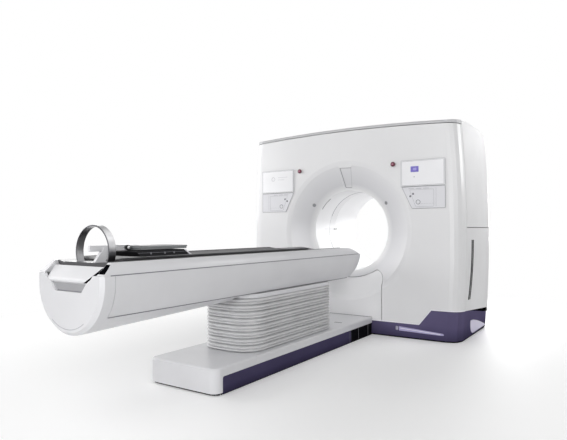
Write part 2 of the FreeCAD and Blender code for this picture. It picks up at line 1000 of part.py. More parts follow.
def trough_section(inset):
    """End view of the trough: upright sides over a half round."""
    half = TROUGH - inset
    bottom = Dims.trough_centre - Dims.trough_depth + inset
    return [
        (-half, SPLIT - 0.5),
        (-half, Dims.trough_centre),
        (0, bottom, half, Dims.trough_centre),
        (half, SPLIT - 0.5),
    ]


def nose_side(inset):
    """Side view of the shell, with the curved rake of its gantry end."""
    foot = SHELL_FOOT + inset
    top = SPLIT + 5
    low = Dims.pan_seam - (5 if inset else 0)
    return [
        (foot, low),
        (foot, top),
        (NOSE - inset, top),
        (NOSE - 52 - inset, 668, NOSE - 152 - inset, low),
    ]


def trough_shell():
    """Long white shell of the table top, open below along its flat underside."""
    outside = shared(
        "TroughOutside",
        prism("XZ", SHELL_FOOT - 10, NOSE + 10, *trough_section(0)),
        prism("YZ", -300, 300, *nose_side(0)),
    )
    wall = Dims.shell_wall
    inside = shared(
        "TroughInside",
        prism("XZ", SHELL_FOOT - 10, NOSE + 10, *trough_section(wall)),
        prism("YZ", -300, 300, *nose_side(wall)),
    )
    return without("trough_shell", outside, inside)


def pan():
    """Lower pan between the end cap and the bellows: a shallow boat that rises to the gantry."""
    return without("lower_pan", pan_block(0), pan_block(7))


def pan_block(inset):
    """The pan's bowl as a solid: a half round drawn along a line that climbs to the gantry."""
    foot, head = SHELL_FOOT + inset, Dims.bellows_foot - 22 - inset
    half, edge = sized(200) - inset, Dims.pan_seam - 2
    sketch = free_sketch("XZ", foot)
    bowl_radius = sized(258) - inset
    bowl_points = bend(0, 721, bowl_radius, 219, 321, 10)
    outline(sketch, (-half, edge + 20), *bowl_points, (half, edge + 20))
    bowl = doc.addObject("Part::Extrusion", "PanBowl")
    bowl.Base = sketch
    bowl.DirMode = "Custom"
    bowl.Dir = Vector(0, 1, 0.034)
    bowl.Solid = True
    bind(bowl, "LengthFwd", (head - foot) * 1.000578)
    return shared("PanBlock", bowl, cuboid(-300, 300, foot, head, 300, edge + 5 * (inset > 0)))


def trough_end():
    """End cap of the trough with its rounded rim, notched at the top for the fairing."""
    cap = padded("trough_end_cap", "XZ", Dims.foot_y, SHELL_FOOT - 3, *trough_section(0))
    foot = Dims.foot_y.value
    soften_edges(
        cap,
        18,
        lambda e: abs(e.CenterOfMass.y - foot) < 0.1 and e.CenterOfMass.z < SPLIT.value - 20,
    )
    inner = sketch_on(cap, "XZ", Dims.foot_y + 12)
    outline(inner, *trough_section(12))
    pocket(cap, inner, "XZ", 90)
    notch = sketch_on(cap, "XZ", Dims.foot_y - 10)
    right = [(109, 683), (146, 728), (182, 751), (206, SPLIT + 10)]
    outline(notch, *mirrored(right), *right)
    pocket(cap, notch, "XZ", 90)
    return cap


def foot_fairing():
    """Sloping white plate over the foot of the cradle, with a finger recess below it."""
    right = [(108, 684), (145, 728), (181, 752), (214, 808)]
    face = prism("XZ", Dims.foot_y - 5, SHELL_FOOT, *mirrored(right), *right)
    foot = Dims.foot_y
    slope = prism(
        "YZ",
        -300,
        300,
        (foot + 14, 684),
        (foot + 14, 726),
        (foot + 1, 731),
        (foot + 2, 744, foot + 9, 753),
        (foot + 68, 807),
        (foot + 76, 807),
        (foot + 76, 684),
    )
    return shared("foot_fairing", face, slope)


def bellows_collar():
    """Plate that closes the underside over the bellows, with the light collar under it."""
    collar = new_body("bellows_collar")
    top = Dims.pan_seam - 1
    plate = sketch_on(collar, "XY", top - 7)
    rectangle(plate, -188, Dims.bellows_foot - 20, 188, NOSE - 165)
    pad(collar, plate, "XY", 7)
    rim = sketch_on(collar, "XY", Dims.bellows_top + 0.5)
    rounded_plan(rim, -10)
    pad(collar, rim, "XY", top - Dims.bellows_top - 5)
    well = sketch_on(collar, "XY", Dims.bellows_top - 5)
    rectangle(well, -120, COLUMN_FOOT - 110, 120, COLUMN_HEAD + 110)
    pocket(collar, well, "XY", 40)
    return collar


def table_beam():
    """Aluminium ladder frame inside the shell, on the heads of the lift columns, with the two
    guide rails of the carriage on it."""
    beam = new_body("table_beam")
    flat = sketch_on(beam, "XY", BEAM_LOW)
    rectangle(flat, -150, SHELL_FOOT + 60, 150, NOSE - 130)
    pad(beam, flat, "XY", 45)
    gaps = sketch_on(beam, "XY", BEAM_LOW - 5)
    for low, high in ((-1840, -1300), (-1220, -760), (-420, -160), (180, 520)):
        rectangle(gaps, -110, low, 110, high)
    pocket(beam, gaps, "XY", 60)
    low = BEAM_LOW + 45
    for x in (-92, 92):
        rail = sketch_on(beam, "XZ", SHELL_FOOT + 70)
        outline(
            rail,
            (x - 14, low - 1),
            (x + 14, low - 1),
            (x + 14, low + 12),
            (x + 9, low + 18),
            (x + 14, low + 24),
            (x + 14, low + 32),
            (x - 14, low + 32),
            (x - 14, low + 24),
            (x - 9, low + 18),
            (x - 14, low + 12),
        )
        pad(beam, rail, "XZ", NOSE - SHELL_FOOT - 210)
    return beam


def table_deck():
    """Deck under the cradle, with the long slot that the carriage's post runs in."""
    deck = new_body("table_deck")
    flat = sketch_on(deck, "XY", SPLIT)
    half = Dims.rail_inner - 2
    outline(
        flat,
        (-half, SHELL_FOOT + 2),
        (half, SHELL_FOOT + 2),
        (half, NOSE - 40),
        (half - 60, NOSE - 6, half - 110, NOSE - 4),
        (-half + 110, NOSE - 4),
        (-half + 60, NOSE - 6, -half, NOSE - 40),
    )
    rectangle(flat, -46, SHELL_FOOT + 30, 46, NOSE - 150)
    pad(deck, flat, "XY", 7)
    return deck


def side_rail(side, name):
    """White rail along one edge of the table, raked at both ends."""
    inner, outer = Dims.rail_inner * side, TROUGH * side
    section = prism(
        "XZ",
        SHELL_FOOT - 90,
        NOSE + 10,
        (inner, SPLIT),
        (outer, SPLIT),
        (outer - 3 * side, SPLIT + 16, outer - 24 * side, Dims.rail_top - 2),
        (outer - 27 * side, Dims.rail_top),
        (inner, Dims.rail_top),
    )
    rake = prism(
        "YZ",
        -300,
        300,
        (SHELL_FOOT - 72, SPLIT - 5),
        (SHELL_FOOT - 70, SPLIT + 1),
        (SHELL_FOOT - 4, Dims.rail_top + 3),
        (NOSE - 225, Dims.rail_top + 3),
        (NOSE - 140, SPLIT + 46, NOSE - 22, SPLIT - 5),
    )
    return shared(f"side_rail_{name}", section, rake)


# ---------------------------------------------------------------- cradle and its fittings


def cradle_board():
    """Carbon cradle: a shallow dished board, with the flat block on its foot for the hoop."""
    board = new_body("cradle")
    seat = Dims.cradle_under + 33
    half, low = Dims.cradle_half, Dims.cradle_under
    section = sketch_on(board, "XZ", Dims.cradle_foot)
    outline(
        section,
        (-half + 44, low),
        (half - 44, low),
        (half - 12, low + 14, half, low + 36),
        (half - 4, low + 41),
        (0, low + 16, -half + 4, low + 41),
        (-half, low + 36),
        (-half + 12, low + 14, -half + 44, low),
    )
    pad(board, section, "XZ", Dims.cradle_head - Dims.cradle_foot)
    corners = sketch_on(board, "XY", low - 5)
    head = Dims.cradle_head
    for side in (-1, 1):
        edge = half * side
        inner = edge - 80 * side
        outline(
            corners,
            (inner, head),
            (edge - 24 * side, head - 24, edge, head - 80),
            (edge + 5 * side, head - 80),
            (edge + 5 * side, head + 5),
            (inner, head + 5),
        )
    pocket(board, corners, "XY", 60)
    block = sketch_on(board, "XZ", Dims.cradle_foot + 1)
    outline(block, (-150, low + 12), (150, low + 12), (150, seat), (-150, seat))
    pad(board, block, "XZ", 111)
    return board


def cradle_pad():
    """Thin dark mattress that follows the dish of the cradle."""
    mat = new_body("cradle_pad")
    low = Dims.cradle_under
    edge = Dims.cradle_half - 6
    section = sketch_on(mat, "XZ", Dims.cradle_foot + 118)
    outline(
        section,
        (-edge, low + 41.5),
        (0, low + 16.8, edge, low + 41.5),
        (edge + 2, low + 50, edge - 3, Dims.pad_top),
        (0, Dims.pad_top - 16, -edge + 3, Dims.pad_top),
        (-edge - 2, low + 50, -edge, low + 41.5),
    )
    pad(mat, section, "XZ", Dims.pad_head - Dims.cradle_foot - 118)
    return mat


def carriage():
    """Saddle under the cradle, its post through the deck, and the shoes on the two rails."""
    slide = new_body("cradle_carriage")
    foot = Dims.cradle_foot + 50
    length = 620
    saddle = sketch_on(slide, "XZ", foot)
    deck_top = SPLIT + 7
    rail_low = BEAM_LOW + 45
    rectangle(saddle, -140, deck_top + 2, 140, Dims.cradle_under)
    pad(slide, saddle, "XZ", length)
    post = sketch_on(slide, "XZ", foot + 20)
    rectangle(post, -40, rail_low + 50, 40, deck_top + 3)
    pad(slide, post, "XZ", length - 40)
    shoe = sketch_on(slide, "XZ", foot + 20)
    rectangle(shoe, -118, rail_low + 33, 118, rail_low + 51)
    pad(slide, shoe, "XZ", length - 40)
    return slide


def hoop():
    """Flat metal hoop across the foot of the cradle, cut off where it stands on the block."""
    r, y = Dims.hoop_radius, Dims.hoop_y
    loop = turned("Loop", (y - 20, r), (y + 20, r), (y + 20, r - 8), (y - 20, r - 8), z=Dims.hoop_z)
    seat = cuboid(-200, 200, y - 40, y + 40, Dims.hoop_z - 200, HOOP_FOOT)
    return without("hoop", loop, seat)


def tray_bracket():
    """Cranked white bracket from the cradle's end block to the tray's pivot."""
    arm = new_body("tray_bracket")
    y = Dims.hoop_y
    x = Dims.arm_x
    side = sketch_on(arm, "YZ", x - 24)
    outline(
        side,
        (y - 70, HOOP_FOOT),
        (y - 8, HOOP_FOOT),
        (y + 22, ARM_Z - 16),
        (TRAY_Y + 14, ARM_Z - 16),
        (TRAY_Y + 22, ARM_Z, TRAY_Y + 14, ARM_Z + 13),
        (y + 10, ARM_Z + 13),
        (y - 8, ARM_Z + 9, y - 22, ARM_Z - 8),
    )
    pad(arm, side, "YZ", 20)
    bore = sketch_on(arm, "YZ", x - 30)
    ring(bore, TRAY_Y, ARM_Z, 5.05)
    pocket(arm, bore, "YZ", 40)
    return arm


def tray():
    """Slate tray plate with its hinge ear, and the ten-sided knob that clamps the pivot."""
    x = Dims.arm_x
    plate = new_body("tray_plate")
    top = sketch_on(plate, "XY", ARM_Z - 4)
    outline(
        top,
        (x - 130, TRAY_Y + 30),
        (x + 80, TRAY_Y + 30),
        (x + 80, TRAY_Y + 370),
        (x + 74, TRAY_Y + 384, x + 60, TRAY_Y + 390),
        (x - 110, TRAY_Y + 390),
        (x - 124, TRAY_Y + 384, x - 130, TRAY_Y + 370),
    )
    pad(plate, top, "XY", 9)
    ear = sketch_on(plate, "YZ", x - 3.6)
    outline(
        ear,
        (TRAY_Y, ARM_Z - 10),
        (TRAY_Y - 10, ARM_Z, TRAY_Y, ARM_Z + 10),
        (TRAY_Y + 34, ARM_Z + 5),
        (TRAY_Y + 34, ARM_Z - 4),
    )
    pad(plate, ear, "YZ", 12)
    bore = sketch_on(plate, "YZ", x - 8)
    ring(bore, TRAY_Y, ARM_Z, 5.05)
    pocket(plate, bore, "YZ", 24)
    knob = new_body("tray_knob")
    shaft = sketch_on(knob, "YZ", x - 27)
    ring(shaft, TRAY_Y, ARM_Z, 5)
    pad(knob, shaft, "YZ", 37)
    head = sketch_on(knob, "YZ", x + 9)
    outline(head, *bend(TRAY_Y, ARM_Z, 13, 0, 324, 9))
    pad(knob, head, "YZ", 16)
    return [plate, knob]


def accessory_case():
    """Dark flat case with slanted ends that lies on the mattress."""
    x = Dims.arm_x
    low = Dims.pad_top - 3
    return padded(
        "accessory_case",
        "YZ",
        x - 128,
        x + 78,
        (TRAY_Y + 36, low),
        (TRAY_Y + 398, low),
        (TRAY_Y + 352, low + 32),
        (TRAY_Y + 8, low + 32),
        (TRAY_Y + 4, low + 26),
    )


# ---------------------------------------------------------------- plinth, bellows and lift


def base_plate():
    """Steel plate on the floor under the plinth, with its four anchor holes."""
    plate = new_body("table_base_plate")
    flat = sketch_on(plate, "XY", 0)
    rectangle(flat, -262, Dims.plinth_foot + 30, 262, DOCK)
    for x in (-225, 225):
        for y in (-1150, 620):
            ring(flat, x, y, 9)
    pad(plate, flat, "XY", 14)
    return plate


def plinth_end():
    """White end of the plinth: it wraps the foot, and runs on over the skirts as a cap."""
    half, top = Dims.plinth_half, Dims.plinth_top
    foot = Dims.plinth_foot
    cap = new_body("plinth_end_cap")
    block = sketch_on(cap, "XY", 14)
    outline(
        block,
        (-half, PLINTH_JOINT - 2),
        (-half, foot + 60),
        (-half + 16, foot + 16, -half + 60, foot),
        (half - 60, foot),
        (half - 16, foot + 16, half, foot + 60),
        (half, PLINTH_JOINT - 2),
    )
    pad(cap, block, "XY", top - 14)
    crown, joint = top.value, PLINTH_JOINT.value
    soften_edges(
        cap, 8, lambda e: abs(e.CenterOfMass.z - crown) < 0.1 and e.CenterOfMass.y < joint - 5
    )
    hollow = sketch_on(cap, "XY", 10)
    rectangle(hollow, -half + 11, foot + 44, half - 11, PLINTH_JOINT + 5)
    pocket(cap, hollow, "XY", top - 18)
    flank = sketch_on(cap, "YZ", -half - 20)
    outline(
        flank,
        (foot + 66, 0),
        (PLINTH_JOINT + 5, 0),
        (PLINTH_JOINT + 5, Dims.skirt_top),
        (foot + 78, Dims.skirt_top),
        (foot + 69.5, Dims.skirt_top - 3.5, foot + 66, Dims.skirt_top - 12),
    )
    pocket(cap, flank, "YZ", half * 2 + 40)
    return cap


def plinth_cover():
    """White channel over the rest of the plinth, with the bellows' well and a finger slot."""
    half, top = Dims.plinth_half, Dims.plinth_top
    cover = new_body("plinth_cover")
    section = sketch_on(cover, "XZ", PLINTH_JOINT + 1)
    outline(
        section,
        (-half, Dims.skirt_top),
        (-half, top - 8),
        (-half + 8, top),
        (half - 8, top),
        (half, top - 8),
        (half, Dims.skirt_top),
        (half - 7, Dims.skirt_top),
        (half - 7, top - 12),
        (half - 12, top - 7),
        (-half + 12, top - 7),
        (-half + 7, top - 12),
        (-half + 7, Dims.skirt_top),
    )
    pad(cover, section, "XZ", DOCK - PLINTH_JOINT - 1)
    openings = sketch_on(cover, "XY", top - 20)
    rectangle(openings, -150, COLUMN_FOOT - 130, 150, COLUMN_HEAD + 130)
    slot = FRONT - 430
    outline(
        openings,
        (118, slot - 10),
        (180, slot - 10),
        (190, slot, 180, slot + 10),
        (118, slot + 10),
        (108, slot, 118, slot - 10),
    )
    pocket(cover, openings, "XY", 40)
    return cover


def plinth_skirts():
    """Plum skirts along both sides of the plinth, each with its upper foot corner rounded."""
    start, end = Dims.plinth_foot + 67, FRONT - 451
    top = Dims.skirt_top - 2
    sides = []
    for low in (-Dims.plinth_half, Dims.plinth_half - 10):
        sides.append(
            prism(
                "YZ",
                low,
                low + 10,
                (start, 6),
                (end, 6),
                (end, top),
                (start + 13, top),
                (start + 3.5, top - 3.5, start, top - 12),
            )
        )
    return grouped("plinth_skirts", *sides)


def dock_skirts():
    """Dark ribbed skirts of the plinth's last stretch, up to the gantry."""
    top = Dims.skirt_top - 2
    sides = []
    starts = (-449, -308, -106)
    for side in (-1, 1):
        outer = (Dims.plinth_half - 3) * side
        valley, inner = outer - 4 * side, outer - 8 * side
        points = [(inner, DOCK), (inner, FRONT + starts[0])]
        for rib, following in zip(starts, starts[1:]):
            ridge_end = FRONT + rib + 96
            points += [(outer, FRONT + rib), (outer, ridge_end)]
            points += [(valley, ridge_end), (valley, FRONT + following)]
        last = FRONT + starts[-1]
        points += [(outer, last), (outer, last + 96), (valley, last + 96), (valley, DOCK)]
        sides.append(prism("XY", 6, top, *points))
    return grouped("dock_skirts", *sides)


def rounded_plan(sketch, grow):
    """Rounded rectangle of the bellows' plan."""
    half = Dims.bellows_half + grow
    foot, head = Dims.bellows_foot - grow, Dims.bellows_head + grow
    r = sized(170) + grow
    points = bend(half - r, foot + r, r, -90, 0, 4)
    points += bend(half - r, head - r, r, 0, 90, 4)
    points += bend(-half + r, head - r, r, 90, 180, 4)
    points += bend(-half + r, foot + r, r, 180, 270, 4)
    outline(sketch, *points)


def folded(inset, label):
    """Stack of ruled bands between narrow and wide rounded rectangles, one pair to each fold."""
    folds = int(Dims.bellows_folds.value)
    low, high = Dims.plinth_top - inset * 0.2, Dims.bellows_top + inset * 0.2
    pitch = (high - low) / folds
    rings = []
    for step in range(2 * folds + 1):
        sketch = free_sketch("XY", low + pitch * (step / 2))
        rounded_plan(sketch, -inset - (22 if step % 2 == 0 else 0))
        rings.append(sketch)
    loft = doc.addObject("Part::Loft", label)
    loft.Sections = rings
    loft.Solid = True
    loft.Ruled = True
    return loft


def bellows():
    """Folded bellows between plinth and table top: thin pleats, open at both ends."""
    return without("bellows", folded(0, "BellowsOutside"), folded(5, "BellowsInside"))


def lift_tubes(label, half, low, high):
    """One stage of both lift columns: a square tube at each station."""
    tubes = []
    bore = half - 8
    for y in (COLUMN_FOOT, COLUMN_HEAD):
        tube = cuboid(-half, half, y - half, y + half, low, high)
        hole = cuboid(-bore, bore, y - bore, y + bore, low, high)
        tubes.append(without("Tube", tube, hole))
    return grouped(label, *tubes)


def lift_drive():
    """Motor and gearbox that drive both columns, on the base plate between them."""
    middle = (COLUMN_FOOT + COLUMN_HEAD) / 2
    box = cuboid(-60, 60, middle - 60, middle + 60, 14, 130, "DriveBox")
    motor = cylinder("y", (0, middle + 60, 76), 42, 110, "DriveMotor")
    shaft = cylinder("y", (0, COLUMN_FOOT + 75, 48), 9, middle - 60 - COLUMN_FOOT - 75)
    return fused("lift_drive", box, motor, shaft)


# ---------------------------------------------------------------- assembly and export


def gantry_parts():
    """Every sub-part of the gantry that stands still, outside in."""
    parts = gantry_front() + [gantry_top()] + gantry_rear() + bore_liners()
    for side, name in ((1, "right"), (-1, "left")):
        parts += gantry_side(side, name)
        parts += [display(side, name), keypad(side, name), emergency_stop(side, name)]
    return parts + gantry_base() + [floor_frame(), stator_frame()]


def rotor_parts():
    """Bearing and everything that turns."""
    parts = bearing() + [rotor_plate(), slip_ring(), detector_assembly()]
    return parts + tube_assembly() + rotor_units()


def table_parts():
    """Plinth, lift, table top and cradle."""
    parts = [base_plate(), plinth_end(), plinth_cover(), plinth_skirts(), dock_skirts()]
    parts += [bellows(), bellows_collar(), lift_drive()]
    parts += [
        lift_tubes("lift_outer_tubes", 75, sized(14), sized(270)),
        lift_tubes("lift_middle_tubes", 66, sized(165), sized(435)),
        lift_tubes("lift_inner_tubes", 57, sized(310), BEAM_LOW),
    ]
    parts += [trough_shell(), pan(), trough_end(), foot_fairing(), table_beam(), table_deck()]
    parts += [side_rail(1, "right"), side_rail(-1, "left")]
    parts += [cradle_board(), cradle_pad(), carriage(), hoop(), tray_bracket()]
    return parts + tray() + [accessory_case()]


def check(parts):
    """Stop if any object failed, or any sub-part isn't a sound solid."""
    for thing in doc.Objects:
        if "Invalid" in thing.State or "Error" in thing.State:
            raise RuntimeError(f"{thing.Label} failed: {thing.State}")
    for part in parts:
        if part.Shape.isNull() or not part.Shape.isValid() or not part.Shape.Solids:
            raise RuntimeError(f"{part.Label} is not a sound solid")


def main():
    parts = gantry_parts() + rotor_parts() + table_parts()
    doc.recompute()
    check(parts)
    os.makedirs("parts", exist_ok=True)
    for part in parts:
        part.Shape.exportStep(f"parts/{part.Label}.step")
    print(f"{len(parts)} sub-parts")


main()
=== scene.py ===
"""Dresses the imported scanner: moulded covers, flare, operator panels, base inlays, bellows, mattress
and the fittings on the cradle, then the studio, lamps and camera. Metres, +Z up, +Y into the bore."""

import json
import math

import bmesh
import bpy
from mathutils import Matrix, Vector
from mathutils.bvhtree import BVHTree


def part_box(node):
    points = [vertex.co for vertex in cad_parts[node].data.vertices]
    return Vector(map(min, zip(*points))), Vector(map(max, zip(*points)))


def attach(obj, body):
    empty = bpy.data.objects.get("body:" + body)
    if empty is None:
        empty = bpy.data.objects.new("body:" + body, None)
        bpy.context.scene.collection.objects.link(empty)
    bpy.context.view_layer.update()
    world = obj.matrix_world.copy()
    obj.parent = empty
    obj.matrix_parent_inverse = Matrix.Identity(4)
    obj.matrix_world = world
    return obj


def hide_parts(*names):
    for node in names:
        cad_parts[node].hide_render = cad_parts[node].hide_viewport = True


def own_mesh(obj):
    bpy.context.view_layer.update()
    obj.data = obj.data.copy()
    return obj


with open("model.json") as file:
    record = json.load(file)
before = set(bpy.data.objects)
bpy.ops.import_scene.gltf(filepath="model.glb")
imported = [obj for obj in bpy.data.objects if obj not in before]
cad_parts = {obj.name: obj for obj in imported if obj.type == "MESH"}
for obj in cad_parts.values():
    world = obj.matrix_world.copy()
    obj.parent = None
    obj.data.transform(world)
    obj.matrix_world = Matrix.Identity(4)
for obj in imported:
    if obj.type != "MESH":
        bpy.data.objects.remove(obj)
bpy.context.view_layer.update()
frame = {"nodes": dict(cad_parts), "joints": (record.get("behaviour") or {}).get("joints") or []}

# ---- places read from the frame

SIDES = ((-1, "left"), (1, "right"))
ISO = 0.985                                            # height of the bore's axis
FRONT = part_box("dock_cover")[0].y                      # the gantry's flat front
WINDOW_WALL = 0.003
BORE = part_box("scan_window")[1].z - ISO - WINDOW_WALL  # clear radius of the bore
GANTRY_MIDDLE = 1.5
WELL_OUTSIDE = 3.0                                     # how far off a ray towards the gantry starts
WINDOW_START, WINDOW_END = (corner.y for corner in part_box("scan_window"))
HOOP_LOW, HOOP_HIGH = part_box("hoop")
HOOP_R = HOOP_HIGH.x
HOOP_Z = HOOP_HIGH.z - HOOP_R                          # height of the hoop's centre

# ---- materials


class Nodes:
    """A node tree, with short ways to add to it."""

    def __init__(self, tree):
        self.tree = tree

    def fill(self, node, inputs):
        """Give a node's inputs their sockets or values."""
        for label, value in inputs.items():
            if isinstance(value, bpy.types.NodeSocket):
                self.tree.links.new(value, node.inputs[label])
            else:
                node.inputs[label].default_value = value

    def add(self, kind, inputs=None, **settings):
        """New node with its settings, and its inputs given as sockets or values."""
        node = self.tree.nodes.new(kind)
        for label, value in settings.items():
            setattr(node, label, value)
        self.fill(node, inputs or {})
        return node

    def maths(self, operation, *values):
        """One math node on sockets or numbers."""
        return self.add("ShaderNodeMath", dict(enumerate(values)), operation=operation).outputs[0]

    def axes(self, place):
        """The three coordinates of a place."""
        return self.add("ShaderNodeSeparateXYZ", {0: place}).outputs


class Paint(Nodes):
    """A material under way, with its shader and its Object coordinates."""

    def __init__(self, name):
        self.material = bpy.data.materials.new(name)
        self.material.use_nodes = True
        super().__init__(self.material.node_tree)
        self.shader = self.tree.nodes["Principled BSDF"]
        self.place = self.add("ShaderNodeTexCoord").outputs["Object"]

    def give(self, inputs):
        """Set inputs of the shader."""
        self.fill(self.shader, inputs)

    def noise(self, scale, detail=3.0, stretch=None):
        """Noise value of a given scale per metre, optionally stretched along an axis."""
        place = self.place
        if stretch:
            place = self.add("ShaderNodeMapping", {"Vector": place, "Scale": stretch}).outputs["Vector"]
        inputs = {"Vector": place, "Scale": scale, "Detail": detail}
        return self.add("ShaderNodeTexNoise", inputs).outputs["Fac"]

    def ramp(self, value, *stops):
        """Colour ramp of (position, colour) stops driven by a value."""
        node = self.add("ShaderNodeValToRGB", {"Fac": value})
        elements = node.color_ramp.elements
        while len(elements) < len(stops):
            elements.new(0.5)
        for element, (position, colour) in zip(elements, stops):
            element.position = position
            element.color = (*colour, 1.0)
        return node.outputs["Color"]

    def tinted(self, first, second):
        """Product of two colours."""
        node = self.add("ShaderNodeMix", data_type="RGBA", blend_type="MULTIPLY")
        factor, colour_a, colour_b = (s for s in node.inputs if s.enabled)
        factor.default_value = 1.0
        self.tree.links.new(first, colour_a)
        self.tree.links.new(second, colour_b)
        return next(s for s in node.outputs if s.enabled)

    def bump(self, height, strength, distance):
        """Bump from a height value."""
        inputs = {"Height": height, "Strength": strength, "Distance": distance}
        self.give({"Normal": self.add("ShaderNodeBump", inputs).outputs["Normal"]})

    def vary(self, colour, spread=0.03, scale=2.2):
        """Base colour that drifts a little over the surface, as a moulding's does."""
        low = tuple(c * (1 - spread) for c in colour)
        high = tuple(min(1.0, c * (1 + spread)) for c in colour)
        self.give({"Base Color": self.ramp(self.noise(scale), (0.35, low), (0.65, high))})

    def roughened(self, rough, scale=7.0, swing=0.14):
        """Roughness that wanders about a value."""
        self.give({"Roughness": self.maths("MULTIPLY_ADD", self.noise(scale), swing, rough - swing / 2)})

    def orange_peel(self, grain=0.05, coat=0.15, coat_rough=0.22):
        """Fine moulded skin with a thin clear coat."""
        self.bump(self.noise(900.0, 2.0), grain, 0.0004)
        self.give({"Coat Weight": coat, "Coat Roughness": coat_rough})

    def brushed(self, scratches, rough, swing, strength, distance):
        """Roughness and bump that follow fine scratches."""
        self.give({"Roughness": self.maths("MULTIPLY_ADD", scratches, swing, rough - swing / 2)})
        self.bump(scratches, strength, distance)


def moulded(name, colour, rough=0.36, grain=0.05, coat=0.15):
    """Painted or moulded plastic."""
    paint = Paint(name)
    paint.vary(colour)
    paint.roughened(rough)
    paint.orange_peel(grain, coat)
    return paint.material


def rubbery(name, colour, rough=0.62, shine=0.18):
    """Matt black plastic with a fine leathery grain."""
    paint = Paint(name)
    paint.vary(colour, 0.12, 14.0)
    paint.roughened(rough, 30.0, 0.10)
    paint.give({"Specular IOR Level": shine})
    paint.bump(paint.noise(1400.0), 0.25, 0.0006)
    return paint.material


def metal(name, colour, rough=0.32, stretch=(1.0, 12.0, 1.0)):
    """Brushed or ground metal, with its scratches drawn out along one way."""
    paint = Paint(name)
    paint.vary(colour, 0.06, 9.0)
    paint.give({"Metallic": 1.0})
    paint.brushed(paint.noise(220.0, 4.0, stretch), rough, 0.22, 0.12, 0.0003)
    return paint.material


def front_paint():
    """The front moulding: white outside, with painted shade in the flare round the bore and a painted
    highlight on the bore's lip.
    """
    paint = Paint("front_paint")
    x, _, z = paint.axes(paint.place)
    up = paint.maths("POWER", paint.maths("SUBTRACT", z, ISO), 2.0)
    radius = paint.maths("SQRT", paint.maths("ADD", paint.maths("POWER", x, 2.0), up))
    # painted shade and highlight by radius from the bore's axis: a paler lip as a painted highlight, painted
    # shade deepest just outside it, easing back to plain white at the flare's rim
    shade = paint.ramp(
        radius,
        (0.400, (0.84, 0.84, 0.85)),
        (0.418, (0.76, 0.76, 0.77)),
        (0.460, (0.64, 0.64, 0.66)),
        (0.560, (0.70, 0.70, 0.72)),
        (0.690, (0.79, 0.79, 0.80)),
        (0.900, (0.79, 0.79, 0.80)),
    )
    drift = paint.ramp(paint.noise(1.8), (0.3, (0.97, 0.97, 0.97)), (0.7, (1.0, 1.0, 1.0)))
    paint.give({"Base Color": paint.tinted(shade, drift)})
    paint.roughened(0.36)
    paint.orange_peel(0.05, 0.3, 0.14)
    return paint.material


def woven_carbon(name, dark, light, tow=0.003):
    """Carbon cloth under lacquer: a twill of crossing tows, seen as fine steps of grey."""
    paint = Paint(name)
    maths = paint.maths
    x, y, _ = paint.axes(paint.place)
    u, v = (maths("DIVIDE", along, tow) for along in (x, y))
    warp, weft = (maths("ABSOLUTE", maths("SINE", maths("MULTIPLY", along, math.pi))) for along in (u, v))
    step = maths("ADD", maths("FLOOR", u), maths("FLOOR", v))
    over = maths("LESS_THAN", maths("FLOORED_MODULO", step, 4.0), 1.5)
    height = maths("MULTIPLY_ADD", weft, maths("SUBTRACT", 1.0, over), maths("MULTIPLY", warp, over))
    paint.give({"Base Color": paint.ramp(height, (0.2, dark), (1.0, light))})
    paint.roughened(0.34, 12.0, 0.08)
    paint.bump(height, 0.15, 0.0003)
    paint.give({"Coat Weight": 0.35, "Coat Roughness": 0.12})
    return paint.material


def hoop_steel():
    """Polished steel band with painted reflections: bright and dark reaches painted round its bend."""
    paint = Paint("hoop_steel")
    maths = paint.maths
    x, _, z = paint.axes(paint.place)
    turn = maths("ARCTAN2", maths("MULTIPLY", x, -1.0), maths("SUBTRACT", z, HOOP_Z))
    waver = maths("MULTIPLY_ADD", paint.noise(26.0, 2.0), 0.07, -0.035)
    reach = maths("ADD", maths("MULTIPLY_ADD", turn, 0.2558, 0.5), waver)
    # painted reflections: bright and dark bands by the angle round the hoop, wavered by a little noise
    shade = paint.ramp(
        reach,
        (0.00, (0.02, 0.02, 0.02)),
        (0.09, (0.07, 0.07, 0.075)),
        (0.16, (0.50, 0.50, 0.51)),
        (0.28, (0.78, 0.78, 0.79)),
        (0.37, (0.34, 0.34, 0.345)),
        (0.45, (0.20, 0.205, 0.21)),
        (0.53, (0.62, 0.62, 0.63)),
        (0.62, (0.58, 0.58, 0.59)),
        (0.70, (0.22, 0.22, 0.225)),
        (0.79, (0.48, 0.48, 0.49)),
        (0.90, (0.60, 0.60, 0.61)),
        (1.00, (0.34, 0.34, 0.35)),
    )
    paint.give({"Base Color": shade, "Metallic": 0.85})
    paint.brushed(paint.noise(260.0, 4.0, (1.0, 14.0, 1.0)), 0.32, 0.12, 0.10, 0.0002)
    return paint.material


def plum_paint(name, colour, top):
    """Plum moulding painted darker from a height down to the floor: painted shade near the floor."""
    paint = Paint(name)
    height = paint.maths("DIVIDE", paint.axes(paint.place)[2], top)
    # painted shade: the colour darkens towards the floor, most below half the given height
    fade = paint.ramp(height, (0.0, (0.45, 0.45, 0.50)), (0.5, (0.90, 0.90, 0.92)), (1.0, (1.0, 1.0, 1.0)))
    darker, lighter = (tuple(c * share for c in colour) for share in (0.94, 1.06))
    drift = paint.ramp(paint.noise(3.0), (0.35, darker), (0.65, lighter))
    paint.give({"Base Color": paint.tinted(fade, drift), "Specular IOR Level": 0.0})
    paint.roughened(0.58)
    paint.orange_peel(0.06, 0.0)
    return paint.material


def pleat_cloth():
    """Coated bellows cloth: a tight weave under a satin skin."""
    paint = Paint("pleat_cloth")
    paint.vary((0.66, 0.66, 0.67), 0.05, 5.0)
    paint.roughened(0.36, 20.0)
    paint.bump(paint.noise(900.0, 2.0, (1.0, 1.0, 0.35)), 0.06, 0.0003)
    paint.give({"Sheen Weight": 0.10, "Sheen Roughness": 0.5})
    return paint.material


